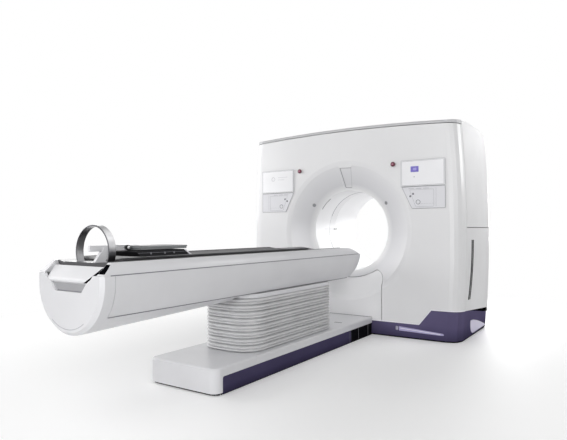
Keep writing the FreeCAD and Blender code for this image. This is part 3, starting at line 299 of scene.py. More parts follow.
def mattress_vinyl():
    """Black vinyl with a pebbled hide grain and soft creases."""
    paint = Paint("mattress_vinyl")
    paint.vary((0.010, 0.010, 0.013), 0.25, 11.0)
    paint.roughened(0.50, 5.0, 0.12)
    creases = paint.noise(14.0, 3.0, (1.0, 0.45, 1.0))
    paint.bump(paint.maths("MULTIPLY_ADD", creases, 3.0, paint.noise(620.0, 4.0)), 0.20, 0.0008)
    return paint.material


WHITE = moulded("cover_paint", (0.79, 0.79, 0.80))
FRONT_PAINT = front_paint()
TABLE_PAINT = moulded("table_paint", (0.72, 0.72, 0.74), 0.34, coat=0.2)
LINER = moulded("liner_paint", (0.86, 0.86, 0.87), 0.42)
SCREEN = moulded("screen_glass", (0.86, 0.86, 0.88), 0.22, 0.0, 0.5)
KEY_FILM = moulded("key_film", (0.72, 0.72, 0.75), 0.34)
PLUM = plum_paint("base_plum", (0.128, 0.110, 0.205), 0.26)
SKIRT_PLUM = plum_paint("skirt_plum", (0.074, 0.064, 0.126), 0.108)
LILAC = moulded("inlay_lilac", (0.46, 0.42, 0.66), 0.30)
# pale lilac of the painted highlight in the base's scoops
LILAC_HIGHLIGHT = moulded("scoop_lilac", (0.60, 0.56, 0.76), 0.34)
LINE_LIGHT = moulded("line_light", (0.80, 0.79, 0.86), 0.34)
# pale trim: the painted highlight along the covers' lower edge, and the case's end block
EDGE_LIGHT = moulded("edge_light", (0.90, 0.89, 0.94), 0.30)
ICON = moulded("screen_icon", (0.17, 0.14, 0.52), 0.30)
ICON_LIGHT = moulded("screen_icon_centre", (0.36, 0.33, 0.70), 0.30)
# grey and faint lines: print and joints, and painted shade along seams, gaps and edges
LINE_GREY = moulded("line_grey", (0.19, 0.19, 0.21), 0.42)
LINE_FAINT = moulded("line_faint", (0.40, 0.40, 0.43), 0.42)
RED = moulded("stop_red", (0.120, 0.012, 0.032), 0.42)
# paler red for the painted highlight on the stop buttons' domes
RED_HIGHLIGHT = moulded("stop_red_centre", (0.38, 0.15, 0.21), 0.38)
STOP_RING = moulded("stop_ring", (0.72, 0.52, 0.56), 0.40)
BLACK = rubbery("matt_black", (0.012, 0.012, 0.014))
# black of the skirts, also used for painted shade in the gaps round the base, plinth and rear cover
SKIRT_BLACK = rubbery("skirt_black", (0.008, 0.008, 0.010), 0.80, shine=0.0)
# black with no shine: the vents' louvres, backing and frames, and painted shade in gaps and slots
GAP_BLACK = rubbery("gap_black", (0.004, 0.004, 0.005), 0.85, shine=0.0)
LENS = moulded("lens_grey", (0.24, 0.245, 0.255), 0.26, 0.0, 0.5)
# grey of the painted shade in the recess at the table's foot
SHADE = moulded("recess_grey", (0.34, 0.34, 0.355), 0.46)
# painted shade: the top cover is the covers' white painted darker, as the top takes less light
TOP_SHADE_PAINT = moulded("top_paint", (0.56, 0.56, 0.575), 0.42, coat=0.05)
SIDE_PAINT = moulded("side_paint", (0.76, 0.76, 0.77), 0.46, coat=0.04)
CARBON = woven_carbon("carbon_cloth", (0.010, 0.010, 0.012), (0.030, 0.030, 0.035))
WINDOW = moulded("window_film", (0.80, 0.80, 0.81), 0.30)
FRAME_GREY = moulded("frame_grey", (0.20, 0.21, 0.22), 0.48)
UNIT_GREY = moulded("unit_grey", (0.28, 0.29, 0.31), 0.42)
ALLOY = metal("machined_alloy", (0.68, 0.68, 0.69), 0.38)
STEEL = metal("ground_steel", (0.52, 0.52, 0.53), 0.30)
BRASS = metal("track_brass", (0.60, 0.48, 0.26), 0.30, (1.0, 30.0, 1.0))
HOOP_STEEL = hoop_steel()
HOOP_EDGE = metal("hoop_edge_steel", (0.13, 0.13, 0.14), 0.30, (1.0, 1.0, 1.0))
SLATE = moulded("tray_slate", (0.20, 0.21, 0.215), 0.44)

DRESSES = {
    WHITE: "dock_cover rear_cover",
    TOP_SHADE_PAINT: "top_cover",
    SIDE_PAINT: "side_cover_left side_cover_right side_panel_left side_panel_right",
    FRONT_PAINT: "front_cover",
    TABLE_PAINT: "trough_shell lower_pan trough_end_cap foot_fairing side_rail_left side_rail_right "
                 "plinth_end_cap plinth_cover bellows_collar tray_bracket",
    LINER: "front_liner rear_funnel",
    WINDOW: "scan_window",
    SCREEN: "display_left display_right",
    KEY_FILM: "keypad_left keypad_right",
    PLUM: "base_cover",
    SKIRT_PLUM: "plinth_skirts",
    SKIRT_BLACK: "base_skirt dock_skirts",
    RED: "stop_button_left stop_button_right",
    FRAME_GREY: "floor_frame stator_frame table_base_plate lift_outer_tubes lift_middle_tubes "
                "lift_inner_tubes lift_drive",
    STEEL: "bearing_outer_ring bearing_inner_ring collimator",
    ALLOY: "rotor_plate heat_exchanger table_beam table_deck cradle_carriage",
    BRASS: "slip_ring",
    UNIT_GREY: "detector xray_tube hv_generator power_unit",
    CARBON: "cradle",
    HOOP_STEEL: "hoop",
    SLATE: "tray_plate",
    BLACK: "accessory_case tray_knob",
}

for finish, names in DRESSES.items():
    for name in names.split():
        node_materials = frame["nodes"][name].data.materials
        node_materials.clear()
        node_materials.append(finish)

# ---- grown meshes (Geometry Nodes)


class Growth(Nodes):
    """A Geometry Nodes tree with named sizes, which ends in Realize Instances and Set Material."""

    KINDS = {int: "Int", float: "Float", tuple: "Vector"}

    def __init__(self, name, **sizes):
        super().__init__(bpy.data.node_groups.new(name, "GeometryNodeTree"))
        self.socket("Guide", "Geometry")
        for label, value in sizes.items():
            self.socket(label, self.KINDS[type(value)]).default_value = value
        self.socket("Finish", "Material")
        self.socket("Grown", "Geometry", "OUTPUT")
        self.given = self.add("NodeGroupInput").outputs

    def socket(self, label, kind, way="INPUT"):
        """Named input or output of the tree."""
        return self.tree.interface.new_socket(label, in_out=way, socket_type="NodeSocket" + kind)

    def shape(self, kind, inputs=None, **settings):
        """Outputs of a new geometry node."""
        return self.add("GeometryNode" + kind, inputs, **settings).outputs

    def vector(self, operation, *values):
        """One vector math node on sockets or vectors."""
        return self.add("ShaderNodeVectorMath", dict(enumerate(values)), operation=operation).outputs[0]

    def turned_to(self, direction):
        """Rotation that turns +Z to a direction."""
        return self.add("FunctionNodeAlignRotationToVector", {"Vector": direction}, axis="Z").outputs[0]

    def copies(self, points, instance, **inputs):
        """A copy of an instance at every point."""
        return self.shape("InstanceOnPoints", {"Points": points, "Instance": instance, **inputs})[0]

    def end(self, geometry):
        """Close the tree on this geometry."""
        real = self.shape("RealizeInstances", {"Geometry": geometry})[0]
        dressed = self.shape("SetMaterial", {"Geometry": real, "Material": self.given["Finish"]})[0]
        self.add("NodeGroupOutput", {"Grown": dressed})
        return self

    def mesh(self, guide, finish, **sizes):
        """The plain mesh that this tree makes of a guide mesh."""
        sizes["Finish"] = finish
        bearer = bpy.data.objects.new("guide", guide)
        bpy.context.scene.collection.objects.link(bearer)
        modifier = bearer.modifiers.new("Growth", "NODES")
        modifier.node_group = self.tree
        for item in self.tree.interface.items_tree:
            if item.in_out == "INPUT" and item.name in sizes:
                modifier[item.identifier] = sizes[item.name]
        made = evaluated(bearer)
        bpy.data.objects.remove(bearer)
        return made


def evaluated(thing):
    """Plain mesh of an object with its modifiers applied."""
    return bpy.data.meshes.new_from_object(thing.evaluated_get(bpy.context.evaluated_depsgraph_get()))


def welt_growth():
    """A round bead along every path of the guide."""
    tree = Growth("welt", Radius=0.001, Sides=6)
    given = tree.given
    path = tree.shape("MeshToCurve", {"Mesh": given["Guide"]})[0]
    inputs = {"Resolution": given["Sides"], "Radius": given["Radius"]}
    section = tree.shape("CurvePrimitiveCircle", inputs)[0]
    inputs = {"Curve": path, "Profile Curve": section, "Fill Caps": True}
    return tree.end(tree.shape("CurveToMesh", inputs)[0])


def fastener_growth():
    """A low screw head with a sunk middle at every point of the guide, facing its `facing`."""
    sides, taper, sink = 18, 0.86, 0.6
    tree = Growth("fastener", Radius=0.006, Height=0.003, Recess=0.5)
    given = tree.given
    inputs = {"Vertices": sides, "Radius Bottom": given["Radius"], "Depth": given["Height"]}
    inputs["Radius Top"] = tree.maths("MULTIPLY", given["Radius"], taper)
    head = tree.shape("MeshCone", inputs)
    inputs = {"Mesh": head["Mesh"], "Selection": head["Top"], "Offset Scale": 0.0}
    inner = tree.shape("ExtrudeMesh", inputs)
    inputs = {"Geometry": inner["Mesh"], "Selection": inner["Top"], "Scale": given["Recess"]}
    drawn = tree.shape("ScaleElements", inputs)[0]
    inputs = {"Mesh": drawn, "Selection": inner["Top"]}
    inputs["Offset Scale"] = tree.maths("MULTIPLY", given["Height"], -sink)
    sunk = tree.shape("ExtrudeMesh", inputs)["Mesh"]
    facing = tree.shape("InputNamedAttribute", {"Name": "facing"}, data_type="FLOAT_VECTOR")[0]
    return tree.end(tree.copies(given["Guide"], sunk, Rotation=tree.turned_to(facing)))


def row_growth():
    """A row of copies of the guide, each a step further on and a little larger."""
    tree = Growth("row", Count=4, Step=(0.0, 0.0, 0.01), Swell=0.0)
    given = tree.given
    line = tree.shape("MeshLine", {"Count": given["Count"], "Offset": given["Step"]})[0]
    scale = tree.maths("MULTIPLY_ADD", tree.shape("InputIndex")[0], given["Swell"], 1.0)
    return tree.end(tree.copies(line, given["Guide"], Scale=scale))


def stitch_growth():
    """Short raised stitches along every path of the guide."""
    tree = Growth("stitch", Pitch=0.006, Thread=0.0006, Length=0.004)
    given = tree.given
    path = tree.shape("MeshToCurve", {"Mesh": given["Guide"]})[0]
    points = tree.shape("CurveToPoints", {"Curve": path, "Length": given["Pitch"]}, mode="LENGTH")
    inputs = {"Vertices": 6, "Side Segments": 1, "Radius": given["Thread"], "Depth": given["Length"]}
    thread = tree.shape("MeshCylinder", inputs)["Mesh"]
    turn = tree.turned_to(points["Tangent"])
    return tree.end(tree.copies(points["Points"], thread, Rotation=turn))


# section of one fold from valley to valley: (how far up the fold, how far in the cloth lies)
PLEAT_SECTION = (
    (0.00, 1.00), (0.05, 0.70), (0.11, 0.34), (0.19, 0.06), (0.26, 0.00), (0.33, 0.08), (0.39, 0.38),
    (0.44, 0.58), (0.49, 0.42), (0.56, 0.12), (0.64, 0.02), (0.72, 0.00), (0.80, 0.08), (0.89, 0.38),
    (0.95, 0.70), (1.00, 1.00),
)


def pleat_growth():
    """The bellows wall: a rounded plan swept upwards, drawn in and out by the section of a fold."""
    sizes = {"Width": 0.4, "Length": 1.2, "Corner": 0.17, "Low": 0.0, "Rise": 0.4, "Depth": 0.02}
    tree = Growth("pleats", **sizes, Folds=8.0, Columns=180, Rows=113)
    given = tree.given
    plan = tree.shape("CurvePrimitiveQuadrilateral", {"Width": given["Width"], "Height": given["Length"]})[0]
    inputs = {"Curve": plan, "Count": 10, "Radius": given["Corner"]}
    plan = tree.shape("FilletCurve", inputs, mode="POLY")[0]
    inputs = {"Size X": 1.0, "Size Y": 1.0, "Vertices X": given["Columns"], "Vertices Y": given["Rows"]}
    grid = tree.shape("MeshGrid", inputs)[0]
    x, y, _ = tree.axes(tree.shape("InputPosition")[0])
    around, upwards = (tree.maths("ADD", share, 0.5) for share in (x, y))
    inputs = {"Curves": plan, "Factor": around}
    on_plan = tree.shape("SampleCurve", inputs, mode="FACTOR")["Position"]
    reach = {}
    for axis, side in (("X", "Width"), ("Y", "Length")):
        reach[axis] = tree.maths("SUBTRACT", tree.maths("MULTIPLY", given[side], 0.5), given["Corner"])
    core = tree.add("ShaderNodeCombineXYZ", reach).outputs[0]
    anti_core = tree.vector("MULTIPLY", core, (-1.0, -1.0, -1.0))
    held = tree.vector("MAXIMUM", tree.vector("MINIMUM", on_plan, core), anti_core)
    inwards = tree.vector("NORMALIZE", tree.vector("SUBTRACT", held, on_plan))
    fold = tree.maths("FRACT", tree.maths("MULTIPLY", upwards, given["Folds"]))
    section = tree.add("ShaderNodeFloatCurve", {"Value": fold})
    points = section.mapping.curves[0].points
    for place, value in PLEAT_SECTION[1:-1]:
        points.new(place, value)
    for point, spot in zip(points, PLEAT_SECTION):
        point.location = spot
    section.mapping.update()
    inset = tree.maths("MULTIPLY", section.outputs[0], given["Depth"])
    height = tree.maths("MULTIPLY_ADD", upwards, given["Rise"], given["Low"])
    lifted = tree.add("ShaderNodeCombineXYZ", {"Z": height}).outputs[0]
    flat = tree.vector("ADD", on_plan, tree.vector("MULTIPLY", inwards, inset))
    inputs = {"Geometry": grid, "Position": tree.vector("ADD", flat, lifted)}
    wall = tree.shape("SetPosition", inputs)[0]
    return tree.end(tree.shape("MergeByDistance", {"Geometry": wall, "Distance": 0.0005})[0])


WELT = welt_growth()
FASTENER = fastener_growth()
ROW = row_growth()
STITCH = stitch_growth()

# ---- outlines and meshes


def mesh_of(vertices, edges=(), faces=()):
    """Plain mesh from points, edges and faces."""
    mesh = bpy.data.meshes.new("guide")
    mesh.from_pydata([tuple(v) for v in vertices], list(edges), list(faces))
    mesh.update()
    return mesh


def lattice(rows, count, joined=False, ring=False):
    """Quads between rows of points: `joined` also joins the last row to the first, `ring` a row's ends."""
    faces = []
    for i in range(rows if joined else rows - 1):
        here, after = i * count, (i + 1) % rows * count
        for k in range(count if ring else count - 1):
            m = (k + 1) % count
            faces.append((here + k, here + m, after + m, after + k))
    return faces


def tube(rows, ring=True):
    """Closed mesh through rows of points: each row is joined to the next, and the last to the first."""
    count = len(rows[0])
    faces = lattice(len(rows), count, True, ring)
    if not ring:
        faces += [tuple(range(k, len(rows) * count, count)) for k in (0, count - 1)]
    return mesh_of(sum(rows, []), faces=faces)


def cleaned(mesh, closed=True):
    """Weld doubled points and, on a closed mesh, turn the faces outwards."""
    work = bmesh.new()
    work.from_mesh(mesh)
    bmesh.ops.remove_doubles(work, verts=work.verts, dist=1e-6)
    if closed:
        bmesh.ops.recalc_face_normals(work, faces=work.faces)
    work.to_mesh(mesh)
    work.free()
    return mesh


def carrier(node):
    """Search tree over a CAD node's surface, for setting trim on it."""
    mesh = frame["nodes"][node].data
    return BVHTree.FromPolygons([v.co for v in mesh.vertices], [p.vertices for p in mesh.polygons])


def outline_round(node, height, centre, count):
    """Outline of a node at one height, seen from a centre inside it, going round."""
    tree = carrier(node)
    hits = []
    for step in range(count):
        angle = 2 * math.pi * step / count
        outwards = Vector((math.cos(angle), math.sin(angle), 0))
        hits.append(tree.ray_cast(Vector((*centre, height)) + outwards * 4, -outwards)[0])
    return [hit for hit in hits if hit]


def spot_on(tree, x, z, way=1, proud=0.0):
    """Place of a cover at (x, z) and the way it faces, seen from the front (way 1) or the back (-1)."""
    hit, facing, _, _ = tree.ray_cast(Vector((x, GANTRY_MIDDLE - WELL_OUTSIDE * way, z)), Vector((0, way, 0)))
    facing = facing if facing.y * way < 0 else -facing
    return hit + facing * proud, facing


def between(first, last, share):
    """Numbers part of the way from one row of them to another."""
    return tuple(a * (1 - share) + b * share for a, b in zip(first, last))


def eased(corners, radius, steps=4):
    """Flat outline with its corners rounded."""
    points = []
    for i, corner in enumerate(corners):
        here, before, after = Vector(corner), Vector(corners[i - 1]), Vector(corners[(i + 1) % len(corners)])
        start = here + (before - here).normalized() * radius
        end = here + (after - here).normalized() * radius
        for step in range(steps + 1):
            t = step / steps
            points.append(start * (1 - t) ** 2 + here * 2 * t * (1 - t) + end * t ** 2)
    return points


def box_outline(x0, z0, x1, z1, y):
    """Upright rectangle on a plane of the front."""
    return [(x0, y, z0), (x1, y, z0), (x1, y, z1), (x0, y, z1)]


def scaled(outline, middle, share):
    """Outline drawn in towards a point."""
    return [middle + (p - middle) * share for p in outline]


def arc(centre, radii, start, end, steps):
    """Places of a plane on an arc of a circle or ellipse, between two angles in degrees."""
    angles = [math.radians(start + (end - start) * step / steps) for step in range(steps + 1)]
    return [(centre[0] + radii[0] * math.cos(a), centre[1] + radii[1] * math.sin(a)) for a in angles]


def ring_path(radius, y, start=0.0, end=360.0, steps=96, z=ISO, x=0.0):
    """Points of an arc about the bore's axis, or about a line along +Y at another place."""
    points = [Vector((u, y, v)) for u, v in arc((x, z), (radius, radius), start, end, steps)]
    return points[:-1] if end - start >= 360 else points


def arc_through(start, middle, end, steps):
    """Points of the circle arc through three places of a plane."""
    (ax, ay), (bx, by), (cx, cy) = start, middle, end
    d = 2 * (ax * (by - cy) + bx * (cy - ay) + cx * (ay - by))
    a2, b2, c2 = ax * ax + ay * ay, bx * bx + by * by, cx * cx + cy * cy
    ux = (a2 * (by - cy) + b2 * (cy - ay) + c2 * (ay - by)) / d
    uy = (a2 * (cx - bx) + b2 * (ax - cx) + c2 * (bx - ax)) / d
    first, through, last = (math.degrees(math.atan2(y - uy, x - ux)) for x, y in (start, middle, end))
    turn = (last - first) % 360
    if (through - first) % 360 > turn:
        turn -= 360
    radius = math.hypot(ax - ux, ay - uy)
    return arc((ux, uy), (radius, radius), first, first + turn, steps)


# ---- pieces


class Pieces:
    """Makes pieces which ride on one body; the slot it is given is not used."""

    def __init__(self, slot, body="gantry"):
        self.slot, self.body = slot, body

    def adopt(self, name, mesh, finish=None, closed=True, crease=35):
        """Put a mesh in the scene as a piece. A grown mesh has its finish already."""
        cleaned(mesh, closed).name = name
        piece = bpy.data.objects.new(name, mesh)
        bpy.context.scene.collection.objects.link(piece)
        if finish:
            mesh.materials.clear()
            mesh.materials.append(finish)
        mesh.polygons.foreach_set("use_smooth", [True] * len(mesh.polygons))
        mesh.set_sharp_from_angle(angle=math.radians(crease))
        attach(piece, self.body)
        return piece

    def plate(self, name, corners, back, finish, edge=0.0004):
        """Flat trim: an outline in space, thickened by the vector `back`, with its edges eased."""
        work = bmesh.new()
        face = work.faces.new([work.verts.new(c) for c in corners])
        grown = bmesh.ops.extrude_face_region(work, geom=[face])["geom"]
        moved = [g for g in grown if isinstance(g, bmesh.types.BMVert)]
        bmesh.ops.translate(work, vec=Vector(back), verts=moved)
        bmesh.ops.bevel(work, geom=list(work.edges), offset=edge, segments=2, affect="EDGES")
        mesh = bpy.data.meshes.new(name)
        work.to_mesh(mesh)
        work.free()
        self.adopt(name, mesh, finish)

    def turned(self, name, place, facing, profile, finish, sides=32):
        """Round trim: (radius, height) steps turned about the way it faces, capped unless they close."""
        facing = Vector(facing).normalized()
        side = facing.orthogonal().normalized()
        spokes = [side * u + facing.cross(side) * v for u, v in arc((0, 0), (1, 1), 0, 360, sides)[:-1]]
        vertices = []
        for radius, height in profile:
            vertices += [Vector(place) + facing * height + spoke * radius for spoke in spokes]
        faces = lattice(len(profile), sides, ring=True)
        if profile[0] != profile[-1]:
            faces += [tuple(range(sides)), tuple(range(len(vertices) - sides, len(vertices)))]
        self.adopt(name, mesh_of(vertices, faces=faces), finish)

    def patch(self, name, tree, rows, along, finish, proud=0.0006, depth=0.002):
        """Thin patch on a surface: rows of places, each dropped on it along a direction."""
        along = Vector(along)
        hits = [tree.ray_cast(Vector(place) - along, along)[0] for row in rows for place in row]
        vertices = [hit - along * proud for hit in hits] + [hit + along * depth for hit in hits]
        across, shift = len(rows[0]), len(hits)
        faces = lattice(len(rows), across)
        faces += [tuple(shift + corner for corner in reversed(face)) for face in faces]
        last = shift - across
        rim = [*range(across - 1), *range(across - 1, shift, across)]
        rim += [*range(shift - 2, last, -1), *range(last, 0, -across)]
        faces += [(a, b, shift + b, shift + a) for a, b in zip(rim, rim[1:] + rim[:1])]
        self.adopt(name, mesh_of(vertices, faces=faces), finish)

    def band(self, name, outline, inner, low, high, finish, ring=True):
        """Upright band between two heights, with its outer and inner walls on two outlines."""
        walls = ((outline, low), (outline, high), (inner, high), (inner, low))
        self.adopt(name, tube([[(p.x, p.y, z) for p in path] for path, z in walls], ring), finish)

    def bead(self, name, radius, finish, *paths, closed=False, sides=6):
        """Round beads of one radius along paths of points."""
        vertices, edges = [], []
        for path in paths:
            start = len(vertices)
            vertices += path
            edges += [(i, i + 1) for i in range(start, len(vertices) - 1)]
            if closed:
                edges.append((len(vertices) - 1, start))
        self.adopt(name, WELT.mesh(mesh_of(vertices, edges), finish, Radius=radius, Sides=sides))

    def row(self, name, mesh, finish, count, step, place, swell=0.0):
        """A row of copies of a mesh, from a place onwards."""
        mesh = ROW.mesh(mesh, finish, Count=count, Step=step, Swell=swell)
        mesh.transform(Matrix.Translation(place))
        self.adopt(name, mesh)

    def screws(self, name, places, radius, height, finish):
        """Screws on (place, facing) pairs."""
        guide = mesh_of([place + facing * height * 0.3 for place, facing in places])
        facings = guide.attributes.new("facing", "FLOAT_VECTOR", "POINT")
        facings.data.foreach_set("vector", [c for _, facing in places for c in facing])
        self.adopt(name, FASTENER.mesh(guide, finish, Radius=radius, Height=height, Recess=0.5))


LINER_TRIM = Pieces("liner_grey")
BLACK_TRIM = Pieces("black_plastic")
SCREEN_TRIM = Pieces("screen_white")
KEY_TRIM = Pieces("key_film")
LILAC_TRIM = Pieces("trim_lilac")
COVER_TRIM = Pieces("cover_white")
SKIRT_TRIM = Pieces("skirt_black")
TABLE_TRIM = Pieces("table_white", "table_top")
TABLE_GAPS = Pieces("black_plastic", "table_top")
CASE_TRIM = Pieces("black_plastic", "cradle")
MATTRESS = Pieces("mattress_black", "cradle")
TOWARDS_FOOT = Vector((0, -1, 0))

# ---- flare and bore


def make_flare_trim():
    """Camera groove at the top of the flare, with its ledge, painted shade along its edges and under the
    ledge, and the two sensors beside the bore.
    """
    cover = carrier("front_cover")

    def laid(first, last, proud, steps=10):
        """Points on the flare between two places of the front view."""
        places = [between(first, last, step / steps) for step in range(steps + 1)]
        return [spot_on(cover, x, z, 1, proud)[0] for x, z in places]

    # the grey and faint lines are painted shade along the groove's left edge, foot and right side and under
    # its ledge; the lip is a white bead
    for name, first, last, proud, radius, finish in (
        ("edge", (-0.058, 1.600), (-0.038, 1.413), 0.0004, 0.0030, LINE_GREY),
        ("lip", (-0.080, 1.612), (-0.060, 1.413), 0.0, 0.0024, WHITE),
        ("foot", (-0.038, 1.413), (0.026, 1.410), 0.0004, 0.0024, LINE_GREY),
        ("side", (0.060, 1.600), (0.026, 1.410), -0.0002, 0.0016, LINE_FAINT),
        ("shade", (-0.062, 1.599), (0.064, 1.596), 0.0004, 0.0022, LINE_FAINT),
    ):
        LINER_TRIM.bead(f"groove_{name}", radius, finish, laid(first, last, proud))
    top, foot = ((-0.075, 1.636), (0.079, 1.631)), ((-0.066, 1.606), (0.068, 1.602))
    ledge = [laid(*top, 0.0012), laid(*foot, 0.0055), laid(*foot, -0.006), laid(*top, -0.006)]
    LINER_TRIM.adopt("groove_ledge", tube(ledge, ring=False), WHITE)
    lens = ((0.0, 0.0042), (0.008, 0.0040), (0.0140, 0.0028), (0.0160, 0.0014), (0.0160, -0.004))
    rim = ((0.0161, -0.003), (0.0163, 0.0016), (0.0188, 0.0016), (0.0200, 0.0004), (0.0200, -0.003))
    for side, name in SIDES:
        place, facing = spot_on(cover, 0.396 * side, 1.245)
        LINER_TRIM.turned(f"flare_sensor_{name}", place, facing, lens, LENS)
        LINER_TRIM.turned(f"flare_sensor_rim_{name}", place, facing, rim, LINE_FAINT)


def make_bore_trim():
    """Seal rings beside the scan window, the front one painted dark as shade over some arcs and faint
    elsewhere, and the slots, tracks and lenses of the aiming lights.
    """
    seal, gap = BORE + 0.0012, WINDOW_START - 0.0015
    # the seal at the window's front edge is partly the real gap and partly painted shade: dark grey over the
    # arcs where its slit lies in shade, faint grey over the rest
    dark = [ring_path(seal, gap, *span, 24) for span in ((70, 158), (180, 214), (326, 360))]
    LINER_TRIM.bead("window_seal_shade", 0.0034, LINE_GREY, *dark)
    faint = [ring_path(seal, gap, *span, 48) for span in ((158, 180), (214, 326), (0, 70))]
    LINER_TRIM.bead("window_gap", 0.0018, LINE_FAINT, *faint)
    LINER_TRIM.bead("funnel_seal", 0.0012, LINE_FAINT, ring_path(seal, WINDOW_END + 0.0006), closed=True)

    def lengthways(out, start, end):
        """Straight paths along both flanks of the bore."""
        return [[ring_path(BORE + out, y, angle, angle, 1)[0] for y in (start, end)] for angle in (178, 2)]

    slots = [ring_path(BORE + 0.0006, 1.078, start, start + 21, 14) for start in (126, 33)]
    BLACK_TRIM.bead("aiming_slots", 0.0034, BLACK, *slots)
    LINER_TRIM.bead("aiming_tracks", 0.0020, LINE_FAINT, *lengthways(0.0002, 1.25, 1.454))
    BLACK_TRIM.bead("aiming_lenses", 0.0050, BLACK, *lengthways(0.0006, 1.452, 1.522))


# ---- operator panels


def make_screen(side, name):
    """Bezel round the glass, a line round the raised screen that is partly its gap and partly painted shadow,
    and plain marks on the screen.
    """
    low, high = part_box(f"display_{name}")
    inset = 0.008
    bezel = box_outline(low.x + inset, low.z + inset, high.x - inset, high.z - inset, low.y + 0.0005)
    SCREEN_TRIM.bead(f"screen_bezel_{name}", 0.0011, LINE_GREY, eased(bezel, 0.004), closed=True)
    # partly the gap round the raised screen and partly painted shadow beside it: a grey line round its sides
    edge = box_outline(low.x, low.z, high.x, high.z, low.y + 0.003)
    SCREEN_TRIM.bead(f"screen_edge_shadow_{name}", 0.0026, LINE_FAINT, eased(edge, 0.006), closed=True)
    back = (0, 0.0007, 0)
    front = low.y - 0.0005
    if side > 0:
        outline = eased(box_outline(0.677, 1.510, 0.752, 1.562, front), 0.004)
        LILAC_TRIM.plate("screen_icon", outline, back, ICON, 0.0002)
        outline = eased(box_outline(0.698, 1.524, 0.731, 1.548, front - 0.0004), 0.008)
        SCREEN_TRIM.plate("screen_icon_centre", outline, back, ICON_LIGHT, 0.0002)
        mark = [(0.706, front, 1.466), (0.714, front, 1.466)]
        SCREEN_TRIM.bead("screen_mark_right", 0.0034, LINE_GREY, mark)
    else:
        ring = ring_path(0.020, front, steps=32, z=1.530, x=-0.84)
        SCREEN_TRIM.bead("screen_ring_left", 0.0016, LINE_FAINT, ring, closed=True)
        bars = [[(x, front, z) for x in (-0.78, end)] for end, z in ((-0.66, 1.545), (-0.70, 1.520))]
        SCREEN_TRIM.bead("screen_bars_left", 0.0012, LINE_FAINT, *bars)


def make_keys(side, name):
    """Printed key fields under one screen: outlines, a header line, dots, dashes and a round control."""
    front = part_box(f"keypad_{name}")[0].y - 0.0001

    def at(x, z, back=0.0):
        """A place on the right panel, or its mirror on the left one."""
        return x * side, front + back, z

    field = [at(x, z) for x, z in ((0.664, 1.350), (0.885, 1.350), (0.885, 1.196), (0.720, 1.196))]
    KEY_TRIM.bead(f"key_field_{name}", 0.0012, LINE_FAINT, eased(field, 0.008), closed=True)
    edge = [at(x, z, 0.001) for x, z in ((0.590, 1.378), (0.986, 1.378), (0.986, 1.181), (0.684, 1.181))]
    KEY_TRIM.bead(f"key_border_{name}", 0.0017, LINE_GREY, eased(edge, 0.008), closed=True)
    KEY_TRIM.bead(f"key_lines_{name}", 0.0010, LINE_FAINT, [at(0.905, 1.362), at(0.905, 1.196)])
    header = [[at(x, 1.360), at(x + 0.052, 1.360)] for x in (0.655, 0.722, 0.789)]
    KEY_TRIM.bead(f"key_header_{name}", 0.0022, LINE_FAINT, *header)
    x, z = 0.742 * side, 1.238
    ring = ring_path(0.019, front, steps=28, z=z, x=x)
    KEY_TRIM.bead(f"key_ring_{name}", 0.0022, LINE_GREY, ring, closed=True)
    arcs = [ring_path(0.028, front, start, start + 80, 10, z, x) for start in (20, 200)]
    KEY_TRIM.bead(f"key_arcs_{name}", 0.0016, LINE_LIGHT, *arcs)
    dot = ((0.0, 0.0012), (0.0094, 0.0010), (0.0104, -0.0008))
    for index, place in enumerate((at(0.696, 1.313), at(0.670, 1.292))):
        KEY_TRIM.turned(f"key_dot_{name}_{index}", place, TOWARDS_FOOT, dot, LINE_GREY, 20)
    section = ((0, 0), (0, 0.0016), (-0.0007, 0.0016), (-0.0007, 0))
    dash = tube([[(x, y, z) for x in (-0.009, 0.009)] for y, z in section], ring=False)
    step = (0.024 * side, 0.0, 0.0)
    KEY_TRIM.row(f"key_dashes_{name}", dash, LINE_FAINT, 5, step, at(0.778, 1.222, 0.0003))


def make_stop_cap(name):
    """Domed cap over one emergency stop's head, with a painted highlight on its crown, and the ring under it.
    """
    low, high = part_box(f"stop_button_{name}")
    place = Vector(((low.x + high.x) / 2, low.y, (low.z + high.z) / 2))
    stop = Pieces("stop_red", f"stop_{name}")
    cap = (
        (0.0, 0.0066), (0.008, 0.0062), (0.015, 0.0045),
        (0.0200, 0.0008), (0.0218, -0.003), (0.0205, -0.007),
    )
    stop.turned(f"stop_cap_{name}", place, TOWARDS_FOOT, cap, RED)
    # painted highlight: a paler red disc on top of the dome
    centre = ((0.0, 0.0076), (0.005, 0.0074), (0.0085, 0.0064), (0.0085, 0.004))
    stop.turned(f"stop_highlight_{name}", place, TOWARDS_FOOT, centre, RED_HIGHLIGHT)
    hole = (high.x - low.x) / 2 + 0.0010
    section = ((0.0, 0.0012), (0.0013, 0.0040), (0.0062, 0.0034), (0.0077, -0.002), (0.0, -0.002))
    collar = [(hole + out, height) for out, height in section + section[:1]]
    COVER_TRIM.turned(f"stop_collar_{name}", (place.x, FRONT, place.z), TOWARDS_FOOT, collar, STOP_RING)


# ---- gantry sides, base and back


